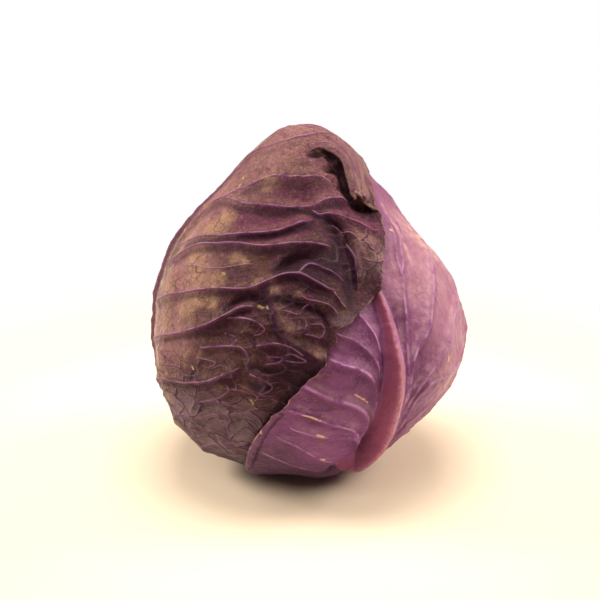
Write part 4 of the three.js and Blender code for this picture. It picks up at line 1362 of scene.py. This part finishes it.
def wilted_leaf():
    """Old outer cabbage leaf, half dried in air, which leaves it matt and papery.

    Its bulges have dried tan and bronze, with painted sheen on some, its hollows are wine-dark with painted
    shade laid in them, and its veins stay purple, with painted light and shade on their flanks.
    """
    material, tree = blank("cabbage_leaf_half_dried")
    clouds = patches(tree, BLISTERS, 0.3, 0.62, 1.0, 6, 0.7)
    grain = patches(tree, GRAIN_DRIED, 0.42, 0.68, 1.0, 3, 0.75)
    specks = patches(tree, SPECKS, 0.54, 0.64, 1.0, 4, 0.75)
    dry = marked(tree, "tan", 0.0, 0.7, 0.3, 1.0)
    hairs = product(tree, cracks(tree, HAIR_CELLS, 4, HAIR_WIDTH), dry, patches(tree, 9, 0.34, 0.54))
    # Dried tan, with painted sheen on the bulges and ridges
    tan = patches(tree, 5, 0.5, 1.35, 1.0, 7, 0.72, product(tree, "tan", 0.6))
    olive = patches(tree, 5, 0.55, 1.15, 1.0, 6, 0.68, product(tree, "olive", 0.5))
    # Painted shade, in patches, in the hollows and creases
    painted_shade_and_dark = patches(tree, 3, 0.55, 1.05, 1.0, 6, 0.7, product(tree, "painted_shade_and_dark", 0.5))
    # Painted light where the head faces the lamps, uneven lighter tone on the back
    light = marked(tree, "lit_and_worn", 0, 1, 0.3, 1.0)
    net = drawn(tree, "net", NET_HALF)
    veins = drawn(tree, "vein", VEIN_HALF)
    lit_side = marked(tree, "vein_side", 0.05, 0.55)
    # Painted highlight on the lit side of the veins
    crest = product(tree, veins, lit_side, patches(tree, BLISTERS, 0.36, 0.54))
    # Painted highlight on the lit ends of the small cells
    lit_net_ends = product(tree, marked(tree, "net_side", 0.3, 0.9), marked(tree, "net", 0.02, 0.3), clouds)
    base = coats(tree, "#36131f", [
        ("#451d2b", patches(tree, 14, 0.42, 0.6, 1.0, 6, 0.7)),
        # Painted light on the sides that face the lamps; uneven lighter tone on the back
        ("#97686d", "lit_and_worn", 0.95),
        ("#7b666f", "ashen_and_shade", 0.92),
        ("#5d1f42", "mauve", patches(tree, 5, 0.25, 0.5, 1.0, 5, 0.7), 0.85),
        ("#552046", patches(tree, 8, 0.52, 0.62, 0.6, 5, 0.65)),
        ("#634530", clouds, 0.2, light),
        ("#563722", olive, 0.6),
        # Dried tan and painted sheen
        ("#a98465", tan, 0.82),
        ("#b38d74", tan, grain, 0.25),
        ("#8f5068", patches(tree, 1.8, 0.52, 0.66), marked(tree, "mauve", 0, 1, 0.08, 0.35)),
        # Painted light on the upper flanks of the veins
        ("#a07c69", "upper", patches(tree, 3, 0.35, 0.6, 1.0, 6, 0.7), 0.8, light),
        ("#a37a76", grain, 0.4, marked(tree, "lit_and_worn", 0, 1, 0.35, 1.0)),
        ("#1d0812", specks, 0.4),
        ("#c3a08c", patches(tree, PALE_SPECKS, 0.55, 0.64, 1.0, 4, 0.75), 0.38, light),
        # Painted shade in the hollows and creases
        ("#23081a", painted_shade_and_dark, 0.92),
        # Painted shade on the lower flanks of the veins
        ("#330d24", "lower", 0.9),
        # Painted highlight along the lit rim
        ("#b2957c", "cream_highlight", patches(tree, 3.5, 0.3, 0.65, 0.9, 5, 0.7)),
        ("#371827", hairs, 0.75),
        ("#8d7078", lit_net_ends, "strength", 0.6),
        ("#42203f", net, "strength"),
        ("#71376a", veins, patches(tree, 9, 0.3, 0.52, 0.95, 4), marked(tree, "tan", 0, 1, 0.8, 1.0)),
        # Painted highlight on the veins' lit sides
        ("#b58fa2", crest, 0.85),
        ("#64324c", "rib", 0.9),
        ("#86596c", "rib", marked(tree, "rib_side", -0.6, 0.4),
         patches(tree, 4, 0.35, 0.65, 0.8)),
        ("#7c525e", "flap", 0.9),
        ("#98756e", "flap", patches(tree, 7, 0.35, 0.7), 0.7),
        ("#6a3a5c", "flap", veins, 0.8),
        ("#a58a76", marked(tree, "inside", 0.1, 0.6, 0.9, 0.0), patches(tree, 6, 0.42, 0.6)),
        ("#c4ab7c", patches(tree, 0.8, 0.74, 0.78), 0.7),
        ("#b49a6c", marked(tree, "scar", 0.5, 1.1), patches(tree, 1.5, 0.3, 0.5, 0.9)),
    ])
    bumps = [
        (grain, 0.55, 0.8),
        (patches(tree, 3, 0.2, 0.8, 1.0, 5, 0.7), 0.85, 0.85),
        (product(tree, net, "strength"), 0.3, 0.7),
        (veins, 0.35, 0.7),
        (hairs, 0.12, 0.6),
    ]
    skin(tree, base, bumps, 0.38, 0.13)
    return material


def fresh_leaf(name, deep, light, rib, flank, freckles=0.2):
    """Fresh cabbage leaf as it grew, with a coat of wax that gives it a soft, low gloss.

    It is purple under a mauve bloom, with pinkish raised veins and a thin pale margin, painted highlights
    beside and on its veins and painted shade under them and in its hollows. The midrib has a colour of its
    own with a painted highlight on its lit side, and another, which mottles it, as painted shade on its far
    flank.
    """
    material, tree = blank(name)
    clouds = patches(tree, BLISTERS, 0.35, 0.65, 1.0, 6, 0.7)
    grain = patches(tree, GRAIN_WAXY, 0.45, 0.75, 1.0, 3, 0.7)
    veins = product(tree, drawn(tree, "vein", VEIN_HALF), patches(tree, 12, 0.3, 0.6, 0.9, 4))
    lit_side = marked(tree, "vein_side", -0.6, 0.4)
    # Painted highlight on the lit side of the veins
    crest = product(tree, veins, lit_side, patches(tree, BLISTERS, 0.35, 0.55))
    # The midrib's lit side, where its highlight is painted and its freckles lie
    lit = marked(tree, "rib_side", -0.35, 0.3, 1.0, 0.0)
    ridge = product(tree, lit, marked(tree, "rib_side", -0.45, -0.2))
    rib_strip = marked(tree, "rib_side", -0.4, -0.15, 0.9, 0.0)
    rib_colour = coats(tree, rib, [
        # Painted highlight on the midrib's lit side
        ("#a26a80", lit, 0.85),
        (flank, patches(tree, 2.2, 0.42, 0.62, 0.7, 5, 0.75)),
        ("#94648a", rib_strip, patches(tree, 5, 0.25, 0.6, 1.0, 6, 0.75)),
        ("#b3714e", ridge, patches(tree, 2.0, 0.5, 0.58, freckles, 4, 0.75)),
        # Painted shade on the midrib's shaded flank
        (flank, marked(tree, "rib_side", -0.1, 0.35), 0.95),
        ("#7b4772", marked(tree, "rib_side", 0.7, 0.98), 0.7),
        ("#5e2542", "mauve", 0.85),
        # Painted shade where the midrib's heel meets the dent beside it
        ("#4c1a33", "painted_shade_and_dark", 0.4),
    ])
    base = coats(tree, deep, [
        (light, patches(tree, 26, 0.38, 0.62, 1.0, 4, 0.6)),
        # Painted light on the side that faces the right lamp, here and in the patches and streaks below
        ("#8c596f", "lit_and_worn", 0.85),
        # Grey patches; on leaf_2 they are painted shade low on its left
        ("#472a40", "ashen_and_shade", 0.9),
        ("#471836", "mauve", clouds, 0.9),
        ("#7d4f5c", patches(tree, 9, 0.5, 0.7, 0.45, 5, 0.7)),
        ("#9c7280", "lit_and_worn", patches(tree, 13, 0.5, 0.64, 0.5, 5, 0.6)),
        ("#97748f", grain, 0.2),
        # Painted highlights in upright streaks beside the veins
        ("#b8968c", "cream_highlight", streaks(tree, 2.4, 0.25, 0.75)),
        ("#9f7390", marked(tree, "lit_and_worn", 0, 1, 0.0, 0.35), streaks(tree, 1.6, 0.5, 0.66)),
        # Painted light on the upper flanks of the veins, and painted shade on the lower ones
        ("#b08a96", "upper", clouds, 0.8),
        ("#471238", "lower", 0.85),
        # Painted shade in the hollows and creases
        ("#2a0b1d", "painted_shade_and_dark", 0.85),
        ("#6f4068", drawn(tree, "net", 0.5), "strength", 0.9),
        ("#77377a", veins),
        # Painted highlight on the veins' lit sides
        ("#bf94a6", crest, 0.62),
        ("#573350", "hem", clouds, 0.8),
        (rib_colour, "rib", 0.95),
        ("#a98a6d", marked(tree, "inside", 0.1, 0.7, 0.8, 0.0), clouds),
        ("#c6a185", marked(tree, "scar", 0.5, 1.1), patches(tree, 1.5, 0.3, 0.5, 0.9)),
    ])
    bumps = [(grain, 0.2, 0.7), (patches(tree, 3.5, 0.2, 0.8), 0.5, 0.7), (veins, 0.4, 0.7)]
    skin(tree, base, bumps, 0.42, 0.18)
    return material


def packed_heart():
    """Heart leaves grown hard against one another: smooth, pale and faintly purple."""
    material, tree = blank("cabbage_heart_leaf")
    base = coats(tree, "#9a7390", [("#b693a8", patches(tree, 20, 0.4, 0.6))])
    skin(tree, base, [(patches(tree, 3, 0.2, 0.8), 0.3, 0.4)], 0.45)
    return material


def cut_stem():
    """Cabbage stem cut across with a knife, which leaves dry pale fibres that brown in patches."""
    material, tree = blank("cabbage_stem_knife_cut")
    base = coats(tree, "#cdbf95", [("#b7a179", patches(tree, 5, 0.4, 0.65, 1.0, 4))])
    skin(tree, base, [(patches(tree, 0.8, 0.2, 0.8), 0.2, 0.6)], 0.7)
    return material


# ---- The set ----

WARM = "#fff5e8"

# The floor's shadow shows whole as far as KEEP_SHADOW from the middle and not beyond ALL_WHITE, in metres,
# and from PALE_FROM on a little warm glow is mixed into it: painted light that lightens the shadow.
KEEP_SHADOW = 0.10
ALL_WHITE = 0.28
PALE_FROM = 0.035
PALE_TO = 0.075
GLOW_IN_SHADOW = 0.2
FLOOR_HALF = 4.0
FILL_LIGHT = 0.09


def white_floor():
    """Cream paper that shows the shadow near the object, lightened there by a painted warm glow, and is
    plain white away from it.
    """
    material, tree = blank("paper_sweep")
    where = add(tree, "TexCoord", {}, {})["Object"]
    away = add(tree, "VectorMath", {"operation": "LENGTH"}, {0: where})["Value"]
    far = {"Value": away, "From Min": KEEP_SHADOW, "From Max": ALL_WHITE}
    bare = add(tree, "MapRange", {"interpolation_type": "SMOOTHSTEP"}, far)[0]
    near = {"Value": away, "From Min": PALE_FROM, "From Max": PALE_TO, "To Max": GLOW_IN_SHADOW}
    shadow_glow = add(tree, "MapRange", {}, near)[0]
    white = add(tree, "Math", {"operation": "MAXIMUM"}, {0: bare, 1: shadow_glow})[0]
    seen = add(tree, "LightPath", {}, {})["Is Camera Ray"]
    tone = add(tree, "Mix", {"data_type": "RGBA"}, {0: seen, 6: colour("#f4eadb"), 7: colour("#e2cfbd")})[2]
    paper = add(tree, "BsdfDiffuse", {}, {"Color": tone})[0]
    warm = add(tree, "Mix", {"data_type": "RGBA"}, {0: white, 6: colour("#fff0ae"), 7: colour("#ffffff")})[2]
    glow = add(tree, "Emission", {}, {"Color": warm, "Strength": 1.0})[0]
    mixed = add(tree, "MixShader", {}, {0: product(tree, white, seen), 1: paper, 2: glow})[0]
    add(tree, "OutputMaterial", {}, {"Surface": mixed})
    return material


def lay_floor():
    mesh = bpy.data.meshes.new("floor")
    corners = [(x * FLOOR_HALF, y * FLOOR_HALF, 0) for x, y in ((-1, -1), (1, -1), (1, 1), (-1, 1))]
    mesh.from_pydata(corners, [], [(0, 1, 2, 3)])
    mesh.materials.append(white_floor())
    floor = bpy.data.objects.new("floor", mesh)
    bpy.context.scene.collection.objects.link(floor)


def look_at(made, place_m, target_m):
    """Places a lamp or camera, in metres, with its front to the target."""
    made.location = place_m
    made.rotation_mode = "QUATERNION"
    made.rotation_quaternion = (Vector(target_m) - Vector(place_m)).to_track_quat("-Z", "Y")
    bpy.context.scene.collection.objects.link(made)


LIT_POINT = (0, 0, 0.08)

# Square soft boxes: place and side in metres, watts
SOFTBOXES = {
    "left_softbox": ((-0.95, 0.25, 0.6), 0.5, 17),
    "right_softbox": ((0.95, 0.25, 0.65), 0.5, 15.5),
    "top_softbox": ((0, 0.1, 1.2), 0.7, 20.5),
    "front_fill": ((-0.2, -1.0, 1.2), 0.6, 5),
}


def hang_lights():
    for name, (place_m, side, watts) in SOFTBOXES.items():
        lamp = bpy.data.lights.new(name, "AREA")
        lamp.shape = "SQUARE"
        lamp.size = side
        lamp.energy = watts
        lamp.color = colour(WARM)[:3]
        look_at(bpy.data.objects.new(name, lamp), place_m, LIT_POINT)


def surround():
    world = bpy.data.worlds.new("light_tent")
    world.use_nodes = True
    tree = world.node_tree
    tree.nodes.clear()
    seen = add(tree, "LightPath", {}, {})["Is Camera Ray"]
    fill = add(tree, "Background", {}, {"Color": colour(WARM), "Strength": FILL_LIGHT})[0]
    white = add(tree, "Background", {}, {"Color": (1, 1, 1, 1), "Strength": 1.0})[0]
    mixed = add(tree, "MixShader", {}, {0: seen, 1: fill, 2: white})[0]
    add(tree, "OutputWorld", {}, {"Surface": mixed})
    bpy.context.scene.world = world


CAMERA_TARGET = Vector((-2.4, 0, 81.7)) * MM
CAMERA_DISTANCE = 1.0
CAMERA_ELEVATION = math.radians(20)
CAMERA_LENS = 125
CAMERA_SENSOR = 36


def set_camera():
    lens = bpy.data.cameras.new("camera")
    lens.lens = CAMERA_LENS
    lens.sensor_width = CAMERA_SENSOR
    made = bpy.data.objects.new("camera", lens)
    back = Vector((0, -math.cos(CAMERA_ELEVATION), math.sin(CAMERA_ELEVATION)))
    look_at(made, CAMERA_TARGET + back * CAMERA_DISTANCE, CAMERA_TARGET)
    bpy.context.scene.camera = made


def stand_for(piece, node, material):
    piece.data.materials.append(material)
    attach(piece, "root")
    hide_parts(node)


# A fresh leaf's fourth colour mottles its midrib and is painted shade on the midrib's shaded flank
FINISHES = {
    "leaf_1": wilted_leaf(),
    "leaf_2": fresh_leaf("cabbage_leaf_waxy_purple", "#5c2c53", "#703c66", "#9c5c74", "#753450", 1.0),
    "leaf_3": fresh_leaf("cabbage_leaf_waxy_back", "#5e3450", "#724a6a", "#6f3558", "#4d1c3c"),
    "leaf_4": fresh_leaf("cabbage_leaf_waxy_pale", "#80566f", "#976f88", "#875a7c", "#5c3052"),
    "leaf_5": fresh_leaf("cabbage_leaf_waxy_left", "#603650", "#754d6c", "#703c60", "#4d1f40"),
    "leaf_6": fresh_leaf("cabbage_leaf_waxy_inner", "#573049", "#694260", "#653557", "#451a38"),
}

for leaf in LEAVES:
    stand_for(build_leaf(leaf), leaf.name, FINISHES[leaf.name])
stand_for(build_heart(), "heart", packed_heart())
stand_for(build_stem(), "cut_stem", cut_stem())

lay_floor()
surround()
hang_lights()
set_camera()
bpy.context.scene.view_settings.view_transform = "Standard"
